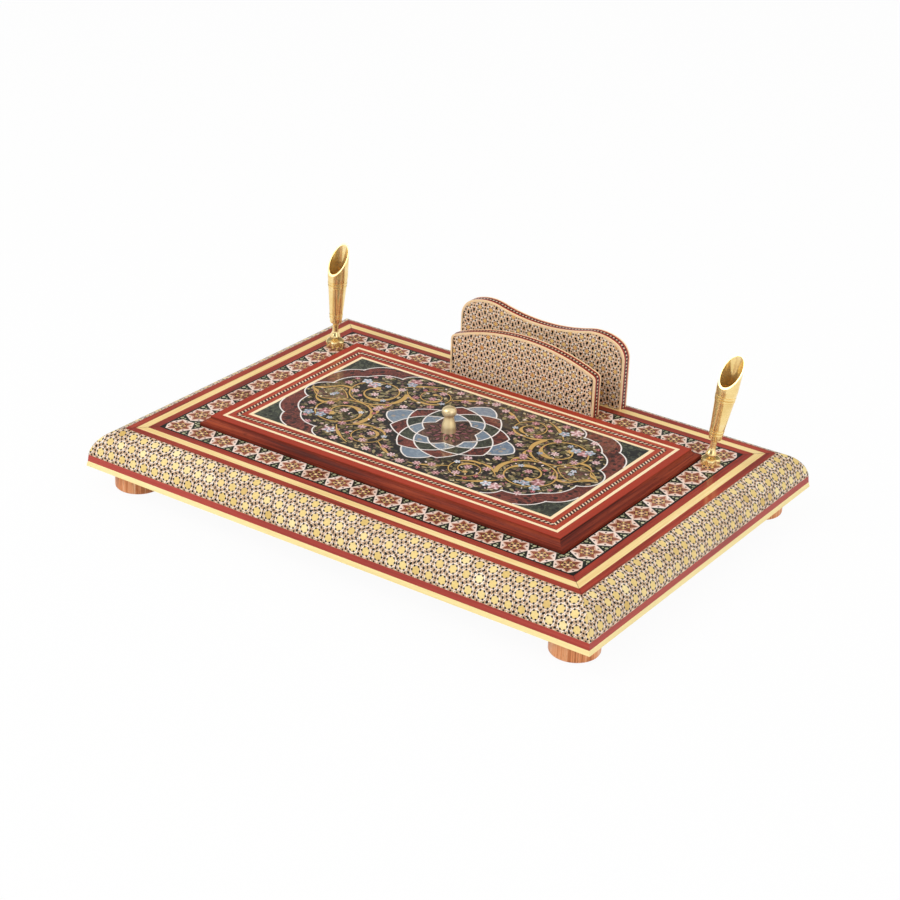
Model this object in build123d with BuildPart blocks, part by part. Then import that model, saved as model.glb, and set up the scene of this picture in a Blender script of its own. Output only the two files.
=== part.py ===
from build123d import *
from math import asin, atan, cos, degrees, hypot, radians, sin, sqrt
import os

# Desk pen box with an inlaid lid, a two-board letter rack and two swivelling pen holders.
# Millimetres, +Z up, +X along the long front side, origin on the table under the middle of the base.

# Base
base_length = 400.0
base_depth = 285.2
foot_height = 16.2
base_height = 26.7
moulding_overhang = 18.8
bottom_board_thickness = 4.0
deck_board_thickness = 6.0
carcass_rail_width = 32.0

# Moulding round the base: a rounded khatam face, a red band and a cream strip below it
khatam_drop = 18.7
khatam_reach = 17.6
khatam_face_radius = 23.0
moulding_veneer = 1.6
red_band_height = 4.6
red_band_reach = 18.05

# Inlay strips of the deck, from its edge inwards
deck_veneer = 1.2
outer_red_width = 5.3
yellow_line_width = 5.5
inner_red_width = 5.5
star_band_width = 19.4

# Storage well under the lid, set in from the deck's edges
well_end_margin = 55.2
well_front_margin = 53.9
well_back_margin = 57.7
well_wall_thickness = 4.0
well_lining_thickness = 1.0

# Feet and their screws
foot_radius = 16.1
foot_inset = 24.7
foot_edge_radius = 1.6
foot_screw_radius = 2.0
foot_screw_head_radius = 3.9
foot_screw_head_height = 2.4
foot_screw_recess = 5.0
foot_screw_bite = 10.0
foot_screw_tip_chamfer = 1.0
screw_clearance = 0.05

# Lid
lid_gap = 0.3
lid_top_height = 6.95
lid_end_rest = 8.4
lid_side_rest = 8.0
lid_rail_top_width = 5.5
lid_cove_radius = 4.7
lid_lip_width = 0.6
lid_veneer = 1.2
lid_outer_cream_width = 2.4
lid_outer_red_width = 3.0
checker_width = 3.9
lid_inner_red_width = 3.0
lid_inner_cream_width = 2.6
batten_width = 10.0
batten_height = 6.0
batten_clearance = 1.0

# Knob and its screw, heights above the lid
knob_offset_x = -0.9
knob_base_radius = 5.1
knob_base_height = 4.2
knob_base_taper = 0.25
knob_edge = 0.4
knob_neck_radius = 3.3
knob_neck_height = 11.2
knob_waist_slope = -0.12
knob_neck_slope = -0.1
knob_ball_radius = 5.0
knob_ball_half_height = 3.9
knob_ball_height = 14.6
knob_ball_start_slope = 0.7
knob_screw_radius = 1.5
knob_screw_head_radius = 3.0
knob_screw_head_height = 1.8
knob_screw_bite = 6.0

# Letter rack: front board with one arch, back board with two shoulders
rack_thickness = 8.2
rack_sheet = 1.2
rack_band = 1.2
rack_line_width = 1.2
rack_centre_x = -4.6
front_board_setback = 28.6
front_board_length = 120.4
front_board_height = 42.6
front_board_arch_radius = 151.5
front_board_corner = 4.0
back_board_setback = 4.7
back_board_length = 136.6
back_board_dip_height = 46.0
back_board_peak_x = 45.4
back_board_peak_rise = 6.1
back_board_shoulder_radius = 37.0
back_board_corner_radius = 14.0
dowel_radius = 2.5
dowel_depth = 14.0
dowel_rise = 10.0
dowel_clearance = 0.05
dowel_spacing = 70.0

# Pen holders, set in from the deck's edges; heights above the deck and radii of the turned brass
holder_end_margin = {"left": 21.0, "right": 27.2}
holder_back_margin = {"left": 43.9, "right": 42.2}
lean_angle = {"left": 2.0, "right": 7.9}
lean_direction = {"left": 0.0, "right": 34.0}
mouth_direction = {"left": -95.0, "right": -95.0}
lobe_reach = 4.1
lobe_radius = 2.9
lobe_shoulder = 2.6
lobe_shoulder_reach = 7.3
base_plate_radius = 5.2
base_plate_height = 4.4
shank_radius = 4.0
shank_depth = 10.2
shank_bore_radius = 3.1
shank_clearance = 0.1
web_thickness = 2.0
ball_radius = 2.5
ball_height = 8.0
ball_neck_radius = 1.0
stud_radius = 1.5
stud_flange_radius = 2.0
stud_flange_height = 0.4
stud_tail = 6.2
running_clearance = 0.05
nut_radius = 2.7
nut_height = 2.6
socket_radius = 3.8
socket_rim_drop = 1.7
socket_edge_drop = 1.3
socket_flare_radius = 3.2
socket_band = 0.8
neck_radius = 2.15
neck_low_height = 4.0
neck_high_height = 8.0
collar_radius = 4.1
collar_height = 10.2
collar_edge = 0.3
skirt_top_tangent = (-0.5, 2.2)
collar_tangent = (2.4, 0.8)
lower_ring_height = 15.4
lower_ring_radius = 4.95
upper_ring_height = 40.6
upper_ring_radius = 7.05
ring_width = 1.2
ring_spacing = 2.2
groove_depth = 0.2
groove_width = 0.4
mouth_radius = 7.4
mouth_start_height = 46.5
mouth_low_height = 48.2
mouth_tip_height = 70.2
funnel_wall = 0.9
bore_floor = 11.6

# Heights and edges that follow
base_bottom = foot_height
deck_top = base_bottom + base_height
deck_board_top = deck_top - deck_veneer
deck_board_bottom = deck_board_top - deck_board_thickness
rail_bottom = base_bottom + bottom_board_thickness
deck_half_x = base_length / 2 - moulding_overhang
deck_half_y = base_depth / 2 - moulding_overhang
well_length = 2 * (deck_half_x - well_end_margin)
well_depth = 2 * deck_half_y - well_front_margin - well_back_margin
lid_offset_y = (well_front_margin - well_back_margin) / 2
lid_bottom = deck_top + lid_gap
lid_top = deck_top + lid_top_height
lid_board_top = lid_top - lid_veneer
lid_half_x = well_length / 2 + lid_end_rest
lid_half_y = well_depth / 2 + lid_side_rest
knob_place = (knob_offset_x, lid_offset_y)
front_board_y = deck_half_y - front_board_setback
back_board_y = deck_half_y - back_board_setback
holder_x = {
    "left": -deck_half_x + holder_end_margin["left"],
    "right": deck_half_x - holder_end_margin["right"],
}
holder_y = {hand: deck_half_y - holder_back_margin[hand] for hand in ("left", "right")}

# Unit vector out of each side of the box
SIDES = {"front": (0, -1), "right": (1, 0), "back": (0, 1), "left": (-1, 0)}

os.makedirs("parts", exist_ok=True)


def save(shape, name):
    """Labels one finished piece and writes its file."""
    shape.label = name
    export_step(shape, f"parts/{name}.step")


def side_plane(side, half_x, half_y, centre_y, height):
    """Upright plane across one side: local x runs outwards from that edge and local y runs up."""
    out_x, out_y = SIDES[side]
    origin = (out_x * half_x, centre_y + out_y * half_y, height)
    return Plane(origin=origin, x_dir=(out_x, out_y, 0), z_dir=(out_y, -out_x, 0))


def mitre_corners(side, half_x, half_y, centre_y, inner, outer):
    """Plan corners of one mitred side, between two distances measured outwards from the edge."""
    out_x, out_y = SIDES[side]
    out, run = (half_x, half_y) if out_x else (half_y, half_x)
    corners = []
    for distance, sign in ((inner, -1), (outer, -1), (outer, 1), (inner, 1)):
        across = out + distance
        along = sign * (run + distance)
        corners.append((out_x * across - out_y * along, centre_y + out_y * across + out_x * along))
    return corners


def mitred_side(side, half_x, half_y, centre_y, height, profile, inner, outer):
    """One side of a frame: its profile runs the whole side and is cut to 45 degrees at both ends."""
    reach = 2 * (half_x + half_y)
    with BuildPart() as piece:
        with BuildSketch(side_plane(side, half_x, half_y, centre_y, height)):
            add(profile)
        extrude(amount=reach, both=True)
        with BuildSketch():
            Polygon(*mitre_corners(side, half_x, half_y, centre_y, inner, outer), align=None)
        extrude(amount=reach, mode=Mode.INTERSECT)
    return piece.part


def inlay_side(side, half_x, half_y, centre_y, top, inner, outer, thickness):
    """One flat mitred strip, its top at the given height, between two distances inside the edge."""
    with BuildPart() as strip:
        with BuildSketch(Plane.XY.offset(top - thickness)):
            Polygon(*mitre_corners(side, half_x, half_y, centre_y, -inner, -outer), align=None)
        extrude(amount=thickness)
    return strip.part


def drilled(solid, points, radius):
    """The piece with upright holes through its whole height."""
    with BuildPart() as piece:
        add(solid)
        with BuildSketch():
            with Locations(*points):
                Circle(radius)
        extrude(amount=2 * deck_top, mode=Mode.SUBTRACT)
    return piece.part


def board(length, depth, centre_y, bottom, thickness):
    """Plain rectangular board."""
    with BuildPart() as piece:
        with BuildSketch(Plane.XY.offset(bottom)):
            with Locations((0, centre_y)):
                Rectangle(length, depth)
        extrude(amount=thickness)
    return piece.part


# Places of the fastenings
foot_x = base_length / 2 - foot_inset
foot_y = base_depth / 2 - foot_inset
foot_points = [(x, y) for x in (-foot_x, foot_x) for y in (-foot_y, foot_y)]
dowel_points = [
    (rack_centre_x + sign * dowel_spacing / 2, y)
    for y in (front_board_y, back_board_y)
    for sign in (-1, 1)
]
holder_points = [(holder_x[hand], holder_y[hand]) for hand in ("left", "right")]
shank_hole = shank_radius + shank_clearance
dowel_hole = dowel_radius + dowel_clearance
foot_screw_hole = foot_screw_radius + screw_clearance


def make_feet():
    """Four turned feet, each with a counterbored hole for its screw."""
    for side_x, sign_x in (("left", -1), ("right", 1)):
        for side_y, sign_y in (("front", -1), ("back", 1)):
            centre = (sign_x * foot_x, sign_y * foot_y)
            with BuildPart() as foot:
                with BuildSketch():
                    with Locations(centre):
                        Circle(foot_radius)
                extrude(amount=foot_height)
                fillet(foot.edges().group_by(Axis.Z)[0], foot_edge_radius)
                with BuildSketch():
                    with Locations(centre):
                        Circle(foot_screw_hole)
                extrude(amount=foot_height, mode=Mode.SUBTRACT)
                with BuildSketch():
                    with Locations(centre):
                        Circle(foot_screw_head_radius + screw_clearance)
                extrude(amount=foot_screw_recess, mode=Mode.SUBTRACT)
            save(foot.part, f"foot_{side_y}_{side_x}")


def make_foot_screws():
    """Pan head screws that hold the feet to the carcass rails, from below."""
    tip = rail_bottom + foot_screw_bite
    screws = []
    for point in foot_points:
        with BuildPart() as screw:
            with BuildSketch(Plane.XY.offset(foot_screw_recess - foot_screw_head_height)):
                with Locations(point):
                    Circle(foot_screw_head_radius)
            extrude(amount=foot_screw_head_height)
            with BuildSketch(Plane.XY.offset(foot_screw_recess)):
                with Locations(point):
                    Circle(foot_screw_radius)
            extrude(amount=tip - foot_screw_recess)
            chamfer(screw.edges().group_by(Axis.Z)[-1], foot_screw_tip_chamfer)
        screws.append(screw.part)
    save(Compound(children=screws), "foot_screws")


def make_carcass():
    """Bottom board, four rails and the deck board with the opening of the well."""
    bottom = board(2 * deck_half_x, 2 * deck_half_y, 0, base_bottom, bottom_board_thickness)
    save(drilled(bottom, foot_points, foot_screw_hole), "bottom_board")

    rail_height = deck_board_bottom - rail_bottom
    rail_y = deck_half_y - carcass_rail_width / 2
    front = board(2 * deck_half_x, carcass_rail_width, -rail_y, rail_bottom, rail_height)
    save(drilled(front, foot_points, foot_screw_hole), "carcass_rail_front")
    back = board(2 * deck_half_x, carcass_rail_width, rail_y, rail_bottom, rail_height)
    back = drilled(back, foot_points, foot_screw_hole)
    with BuildPart() as back_rail:
        add(back)
        with BuildSketch(Plane.XY.offset(deck_top)):
            with Locations(*dowel_points):
                Circle(dowel_hole)
        extrude(amount=-dowel_depth, mode=Mode.SUBTRACT)
    save(back_rail.part, "carcass_rail_back")

    rail_x = deck_half_x - carcass_rail_width / 2
    for hand, sign in (("left", -1), ("right", 1)):
        with BuildPart() as side_rail:
            with BuildSketch(Plane.XY.offset(rail_bottom)):
                with Locations((sign * rail_x, 0)):
                    Rectangle(carcass_rail_width, 2 * (deck_half_y - carcass_rail_width))
            extrude(amount=rail_height)
            with BuildSketch(Plane.XY.offset(deck_top)):
                with Locations((holder_x[hand], holder_y[hand])):
                    Circle(shank_hole)
            extrude(amount=-shank_depth - shank_clearance, mode=Mode.SUBTRACT)
        save(side_rail.part, f"carcass_rail_{hand}")

    with BuildPart() as deck:
        with BuildSketch(Plane.XY.offset(deck_board_bottom)):
            Rectangle(2 * deck_half_x, 2 * deck_half_y)
            with Locations((0, lid_offset_y)):
                Rectangle(well_length, well_depth, mode=Mode.SUBTRACT)
            with Locations(*dowel_points):
                Circle(dowel_hole, mode=Mode.SUBTRACT)
            with Locations(*holder_points):
                Circle(shank_hole, mode=Mode.SUBTRACT)
        extrude(amount=deck_board_thickness)
    save(deck.part, "deck_board")


def make_well():
    """Walls of the storage well, butted at the corners, and the lining on its floor."""
    height = deck_board_bottom - rail_bottom
    for side, sign in (("front", -1), ("back", 1)):
        y = lid_offset_y + sign * (well_depth + well_wall_thickness) / 2
        wall = board(well_length + 2 * well_wall_thickness, well_wall_thickness, y, rail_bottom, height)
        save(wall, f"well_wall_{side}")
    for side, sign in (("left", -1), ("right", 1)):
        with BuildPart() as wall:
            with BuildSketch(Plane.XY.offset(rail_bottom)):
                with Locations((sign * (well_length + well_wall_thickness) / 2, lid_offset_y)):
                    Rectangle(well_wall_thickness, well_depth)
            extrude(amount=height)
        save(wall.part, f"well_wall_{side}")
    lining = board(well_length, well_depth, lid_offset_y, rail_bottom, well_lining_thickness)
    save(lining, "well_lining")


def face_centre():
    """Centre of the moulding's rounded face, from its two ends and its radius."""
    chord = hypot(khatam_reach, khatam_drop)
    back = sqrt(khatam_face_radius**2 - (chord / 2) ** 2)
    x = khatam_reach / 2 - back * khatam_drop / chord
    y = -khatam_drop / 2 - back * khatam_reach / chord
    return x, y


def face_point(radius, height):
    """Point of a circle about the moulding face's centre, at one height under the deck."""
    x, y = face_centre()
    return x + sqrt(radius**2 - (height - y) ** 2), height


def make_moulding():
    """Core, khatam face, red band and cream strip on all four sides of the carcass."""
    centre_x, centre_y = face_centre()
    inner_radius = khatam_face_radius - moulding_veneer
    core_top = centre_y + sqrt(inner_radius**2 - centre_x**2)
    core_foot = face_point(inner_radius, -khatam_drop)
    core_middle = face_point(inner_radius, (core_top - khatam_drop) / 2)
    face_foot = (khatam_reach, -khatam_drop)
    face_middle = face_point(khatam_face_radius, -khatam_drop / 2)
    core_reach = core_foot[0]
    red_foot = -khatam_drop - red_band_height

    with BuildSketch() as core:
        with BuildLine():
            ThreePointArc((0, core_top), core_middle, core_foot)
            Polyline(core_foot, (core_reach, -base_height), (0, -base_height), (0, core_top))
        make_face()
    with BuildSketch() as khatam:
        with BuildLine():
            ThreePointArc((0, 0), face_middle, face_foot)
            Line(face_foot, core_foot)
            ThreePointArc(core_foot, core_middle, (0, core_top))
            Line((0, core_top), (0, 0))
        make_face()
    with BuildSketch() as red:
        Polygon(
            core_foot, face_foot, (red_band_reach, red_foot), (core_reach, red_foot), align=None
        )
    with BuildSketch() as cream:
        Polygon(
            (core_reach, red_foot), (red_band_reach, red_foot),
            (moulding_overhang, -base_height), (core_reach, -base_height), align=None,
        )
    place = (deck_half_x, deck_half_y, 0, deck_top)
    reds = []
    creams = []
    for side in SIDES:
        save(mitred_side(side, *place, core.sketch, 0, moulding_overhang), f"moulding_{side}")
        face = mitred_side(side, *place, khatam.sketch, 0, moulding_overhang)
        save(face, f"moulding_khatam_{side}")
        reds.append(mitred_side(side, *place, red.sketch, 0, moulding_overhang))
        creams.append(mitred_side(side, *place, cream.sketch, 0, moulding_overhang))
    save(Compound(children=reds), "moulding_red_band")
    save(Compound(children=creams), "moulding_cream_strip")


def deck_strips(inner, outer):
    """Four mitred deck strips, holed for the rack's dowels and the holders' shanks."""
    strips = []
    for side in SIDES:
        strip = inlay_side(side, deck_half_x, deck_half_y, 0, deck_top, inner, outer, deck_veneer)
        strip = drilled(strip, dowel_points, dowel_hole)
        strips.append(drilled(strip, holder_points, shank_hole))
    return strips


def make_deck_inlay():
    """Red bands, yellow line, star band and the plain field round the well."""
    yellow_edge = outer_red_width
    inner_red_edge = yellow_edge + yellow_line_width
    star_edge = inner_red_edge + inner_red_width
    field_edge = star_edge + star_band_width
    reds = deck_strips(0, yellow_edge) + deck_strips(inner_red_edge, star_edge)
    save(Compound(children=reds), "deck_red_bands")
    save(Compound(children=deck_strips(yellow_edge, inner_red_edge)), "deck_yellow_line")
    save(Compound(children=deck_strips(star_edge, field_edge)), "star_band")
    with BuildPart() as field:
        with BuildSketch(Plane.XY.offset(deck_board_top)):
            Rectangle(2 * (deck_half_x - field_edge), 2 * (deck_half_y - field_edge))
            with Locations((0, lid_offset_y)):
                Rectangle(well_length, well_depth, mode=Mode.SUBTRACT)
        extrude(amount=deck_veneer)
    save(field.part, "deck_field")


def front_outline(inset):
    """Front rack board as seen from the front, all its edges drawn in by the inset."""
    half = front_board_length / 2 - inset
    radius = front_board_arch_radius - inset
    top = front_board_height - inset
    side_top = top - radius + sqrt(radius**2 - half**2)
    with BuildSketch() as outline:
        with BuildLine():
            ThreePointArc((-half, side_top), (0, top), (half, side_top))
            Polyline((half, side_top), (half, 0), (-half, 0), (-half, side_top))
        make_face()
        top_corners = outline.vertices().group_by(Axis.Y)[-1]
        fillet(top_corners, front_board_corner - inset)
    return outline.sketch


def back_outline(inset):
    """Back rack board: a hollow arc between two round shoulders, each run into a corner arc."""
    slope = 2 * atan(back_board_peak_rise / back_board_peak_x)
    shoulder = back_board_shoulder_radius
    dip = back_board_peak_x / sin(slope) - shoulder
    peak = back_board_dip_height + back_board_peak_rise
    shoulder_y = peak - shoulder
    corner_x = back_board_length / 2 - back_board_corner_radius
    corner_gap = shoulder - back_board_corner_radius
    turn = asin((corner_x - back_board_peak_x) / corner_gap)
    corner_y = shoulder_y + corner_gap * cos(turn)
    side = back_board_length / 2 - inset
    dip_radius = dip + inset
    shoulder_radius = shoulder - inset
    corner_radius = back_board_corner_radius - inset
    dip_y = back_board_dip_height + dip
    with BuildSketch() as outline:
        with BuildLine():
            CenterArc((0, dip_y), dip_radius, 270 - degrees(slope), 2 * degrees(slope))
            for sign in (-1, 1):
                shoulder_centre = (sign * back_board_peak_x, shoulder_y)
                inner_end = 90 + sign * degrees(slope)
                outer_end = 90 - sign * degrees(turn)
                CenterArc(shoulder_centre, shoulder_radius, inner_end, outer_end - inner_end)
                side_end = 0 if sign > 0 else 180
                CenterArc((sign * corner_x, corner_y), corner_radius, outer_end, side_end - outer_end)
                Line((sign * side, corner_y), (sign * side, 0))
            Line((-side, 0), (side, 0))
        make_face()
    return outline.sketch


def rack_layer(outline, hole, y_front, thickness):
    """One layer of a rack board, standing on the deck, with an opening of its own outline or none."""
    plane = Plane(origin=(rack_centre_x, y_front, deck_top), x_dir=(1, 0, 0), z_dir=(0, -1, 0))
    with BuildPart() as layer:
        with BuildSketch(plane):
            add(outline)
            if hole is not None:
                add(hole, mode=Mode.SUBTRACT)
        extrude(amount=-thickness)
    return layer.part


def make_rack_board(name, outline, centre_y, points):
    """Core, edge band, cream lines and khatam sheets of one rack board."""
    front = centre_y - rack_thickness / 2
    back_sheet = centre_y + rack_thickness / 2 - rack_sheet
    core_thickness = rack_thickness - 2 * rack_sheet
    whole = outline(0)
    banded = outline(rack_band)
    lined = outline(rack_line_width)
    core = rack_layer(banded, None, front + rack_sheet, core_thickness)
    with BuildPart() as holed:
        add(core)
        with BuildSketch(Plane.XY.offset(deck_top)):
            with Locations(*points):
                Circle(dowel_hole)
        extrude(amount=dowel_rise, mode=Mode.SUBTRACT)
    save(holed.part, f"rack_{name}_core")
    save(rack_layer(whole, banded, front + rack_sheet, core_thickness), f"rack_{name}_edge_band")
    lines = [rack_layer(whole, lined, y, rack_sheet) for y in (front, back_sheet)]
    save(Compound(children=lines), f"rack_{name}_cream_lines")
    sheets = [rack_layer(lined, None, y, rack_sheet) for y in (front, back_sheet)]
    save(Compound(children=sheets), f"rack_{name}_khatam")


def make_rack():
    """Both rack boards and the dowels that hold them to the deck."""
    make_rack_board("front", front_outline, front_board_y, dowel_points[:2])
    make_rack_board("back", back_outline, back_board_y, dowel_points[2:])
    dowels = []
    for point in dowel_points:
        with BuildPart() as dowel:
            with BuildSketch(Plane.XY.offset(deck_top - dowel_depth)):
                with Locations(point):
                    Circle(dowel_radius)
            extrude(amount=dowel_depth + dowel_rise)
        dowels.append(dowel.part)
    save(Compound(children=dowels), "rack_dowels")


def make_lid():
    """Lid board, its coved rails, inlays, painted panel and the battens that drop into the well."""
    lip = lid_rail_top_width + lid_cove_radius + lid_lip_width
    height = lid_top - lid_bottom
    cove_foot = height - lid_cove_radius
    cove_x = lid_rail_top_width + lid_cove_radius
    middle = (cove_x - lid_cove_radius * cos(radians(45)), height - lid_cove_radius * sin(radians(45)))
    with BuildSketch() as rail:
        with BuildLine():
            Polyline((lid_rail_top_width, height), (0, height), (0, 0), (lip, 0), (lip, cove_foot))
            Line((lip, cove_foot), (cove_x, cove_foot))
            ThreePointArc((cove_x, cove_foot), middle, (lid_rail_top_width, height))
        make_face()
    for side in SIDES:
        piece = mitred_side(side, lid_half_x, lid_half_y, lid_offset_y, lid_bottom, rail.sketch, 0, lip)
        save(piece, f"lid_rail_{side}")

    screw_point = [knob_place]
    core_thickness = lid_board_top - lid_bottom
    core = board(2 * lid_half_x, 2 * lid_half_y, lid_offset_y, lid_bottom, core_thickness)
    core = drilled(core, screw_point, knob_screw_radius + screw_clearance)
    with BuildPart() as lid_core:
        add(core)
        with BuildSketch(Plane.XY.offset(lid_bottom)):
            with Locations(*screw_point):
                Circle(knob_screw_head_radius + screw_clearance)
        extrude(amount=knob_screw_head_height, mode=Mode.SUBTRACT)
    save(lid_core.part, "lid_core")

    edges = [0]
    widths = (
        lid_outer_cream_width, lid_outer_red_width, checker_width,
        lid_inner_red_width, lid_inner_cream_width,
    )
    for width in widths:
        edges.append(edges[-1] + width)
    strips = []
    for inner, outer in zip(edges, edges[1:]):
        strips.append([
            inlay_side(side, lid_half_x, lid_half_y, lid_offset_y, lid_top, inner, outer, lid_veneer)
            for side in SIDES
        ])
    save(Compound(children=strips[0] + strips[4]), "lid_cream_lines")
    save(Compound(children=strips[1] + strips[3]), "lid_red_lines")
    save(Compound(children=strips[2]), "lid_checker_band")
    border = edges[-1]
    panel = board(
        2 * (lid_half_x - border), 2 * (lid_half_y - border), lid_offset_y, lid_board_top, lid_veneer
    )
    save(drilled(panel, screw_point, knob_screw_radius + screw_clearance), "lid_panel")

    batten_half_x = well_length / 2 - batten_clearance
    batten_half_y = well_depth / 2 - batten_clearance
    side_y = batten_half_y - batten_width / 2
    end_x = batten_half_x - batten_width / 2
    end_length = 2 * (batten_half_y - batten_width - batten_clearance)
    with BuildPart() as battens:
        with BuildSketch(Plane.XY.offset(lid_bottom - batten_height)):
            with Locations((0, lid_offset_y - side_y), (0, lid_offset_y + side_y)):
                Rectangle(2 * batten_half_x, batten_width)
            with Locations((-end_x, lid_offset_y), (end_x, lid_offset_y)):
                Rectangle(batten_width, end_length)
        extrude(amount=batten_height)
    save(battens.part, "lid_battens")


def make_knob():
    """Turned knob, and the screw that holds it from under the lid board."""
    waist = (knob_base_radius - knob_base_taper, knob_base_height)
    neck = (knob_neck_radius, knob_neck_height)
    under = knob_ball_half_height * sqrt(1 - (knob_neck_radius / knob_ball_radius) ** 2)
    ball_foot = (knob_neck_radius, knob_ball_height - under)
    ball_top = (0, knob_ball_height + knob_ball_half_height)
    section = Plane(origin=(*knob_place, lid_top), x_dir=(1, 0, 0), z_dir=(0, -1, 0))
    with BuildPart() as knob:
        with BuildSketch(section):
            with BuildLine():
                Polyline(
                    ball_top, (0, 0), (knob_base_radius - knob_edge, 0),
                    (knob_base_radius, knob_edge), waist,
                )
                Spline(waist, neck, tangents=[(knob_waist_slope, 1), (knob_neck_slope, 1)])
                Line(neck, ball_foot)
                Spline(
                    ball_foot, (knob_ball_radius, knob_ball_height), ball_top,
                    tangents=[(1, knob_ball_start_slope), (-1, 0)],
                )
            make_face()
        revolve(axis=Axis((*knob_place, 0), (0, 0, 1)))
        with BuildSketch(Plane.XY.offset(lid_top)):
            with Locations(knob_place):
                Circle(knob_screw_radius + screw_clearance)
        extrude(amount=knob_screw_bite, mode=Mode.SUBTRACT)
    save(knob.part, "knob")

    with BuildPart() as screw:
        with BuildSketch(Plane.XY.offset(lid_bottom)):
            with Locations(knob_place):
                Circle(knob_screw_head_radius)
        extrude(amount=knob_screw_head_height)
        with BuildSketch(Plane.XY.offset(lid_bottom)):
            with Locations(knob_place):
                Circle(knob_screw_radius)
        extrude(amount=lid_top - lid_bottom + knob_screw_bite)
    save(screw.part, "knob_screw")


def meridian(place):
    """Plane through a holder's upright axis, with local y up and its origin on the deck."""
    return Plane(origin=(*place, deck_top), x_dir=(1, 0, 0), z_dir=(0, -1, 0))


def make_holder_base(hand, place):
    """Base of six rounded lobes, with a hollow threaded shank let into the deck."""
    reach = lobe_shoulder_reach
    with BuildPart() as base:
        with BuildSketch(Plane.XY.offset(deck_top)):
            with Locations(place):
                Circle(base_plate_radius)
                with PolarLocations(lobe_reach, 6):
                    Circle(lobe_radius)
        extrude(amount=base_plate_height)
        with BuildSketch(meridian(place)):
            with BuildLine():
                Polyline(
                    (reach - lobe_shoulder, base_plate_height), (0, base_plate_height), (0, 0),
                    (reach, 0), (reach, base_plate_height - lobe_shoulder),
                )
                RadiusArc(
                    (reach - lobe_shoulder, base_plate_height),
                    (reach, base_plate_height - lobe_shoulder), lobe_shoulder,
                )
            make_face()
        revolve(axis=Axis((*place, 0), (0, 0, 1)), mode=Mode.INTERSECT)
        with BuildSketch(Plane.XY.offset(deck_top)):
            with Locations(place):
                Circle(shank_radius)
        extrude(amount=-shank_depth)
        with BuildSketch(Plane.XY.offset(deck_top - shank_depth)):
            with Locations(place):
                Circle(shank_bore_radius)
        extrude(amount=shank_depth + base_plate_height - web_thickness, mode=Mode.SUBTRACT)
        with BuildSketch(Plane.XY.offset(deck_top)):
            with Locations(place):
                Circle(stud_radius + running_clearance)
        extrude(amount=2 * base_plate_height, mode=Mode.SUBTRACT)
    save(base.part, f"{hand}_holder_base")


def make_ball_stud(hand, place):
    """Ball on a short neck, with a flange on the base and a tail for the lock nut."""
    flange = base_plate_height + running_clearance
    neck_top = ball_height - sqrt(ball_radius**2 - ball_neck_radius**2)
    tail = base_plate_height - stud_tail
    with BuildPart() as stud:
        with BuildSketch(meridian(place)):
            with BuildLine():
                Polyline(
                    (ball_neck_radius, neck_top), (ball_neck_radius, flange + stud_flange_height),
                    (stud_flange_radius, flange + stud_flange_height), (stud_flange_radius, flange),
                    (stud_radius, flange), (stud_radius, tail), (0, tail), (0, ball_height + ball_radius),
                )
                ThreePointArc(
                    (0, ball_height + ball_radius), (ball_radius, ball_height),
                    (ball_neck_radius, neck_top),
                )
            make_face()
        revolve(axis=Axis((*place, 0), (0, 0, 1)))
    save(stud.part, f"{hand}_ball_stud")

    nut_top = base_plate_height - web_thickness - running_clearance
    with BuildPart() as nut:
        with BuildSketch(Plane.XY.offset(deck_top + nut_top)):
            with Locations(place):
                RegularPolygon(nut_radius, 6)
                Circle(stud_radius + screw_clearance, mode=Mode.SUBTRACT)
        extrude(amount=-nut_height)
    save(nut.part, f"{hand}_lock_nut")


def funnel_radius(height):
    """Outside radius of the plain cone: one slope up to the upper rings, a steeper one to the mouth."""
    low = lower_ring_radius - groove_depth
    high = upper_ring_radius - groove_depth
    if height <= upper_ring_height:
        share = (height - lower_ring_height) / (upper_ring_height - lower_ring_height)
        return low + (high - low) * share
    share = (height - upper_ring_height) / (mouth_start_height - upper_ring_height)
    return min(high + (mouth_radius - high) * share, mouth_radius)


def ring(height):
    """Outline of a turned ring on the cone, with a groove above and below it."""
    low = height - ring_width / 2
    high = height + ring_width / 2
    proud = funnel_radius(height) + groove_depth
    points = []
    for edge, way in ((low, -1), (high, 1)):
        cone = (funnel_radius(edge + way * groove_width), edge + way * groove_width)
        floor = (funnel_radius(edge) - groove_depth, edge + way * groove_width / 2)
        lip = (proud, edge)
        points += [cone, floor, lip] if way < 0 else [lip, floor, cone]
    return points


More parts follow.
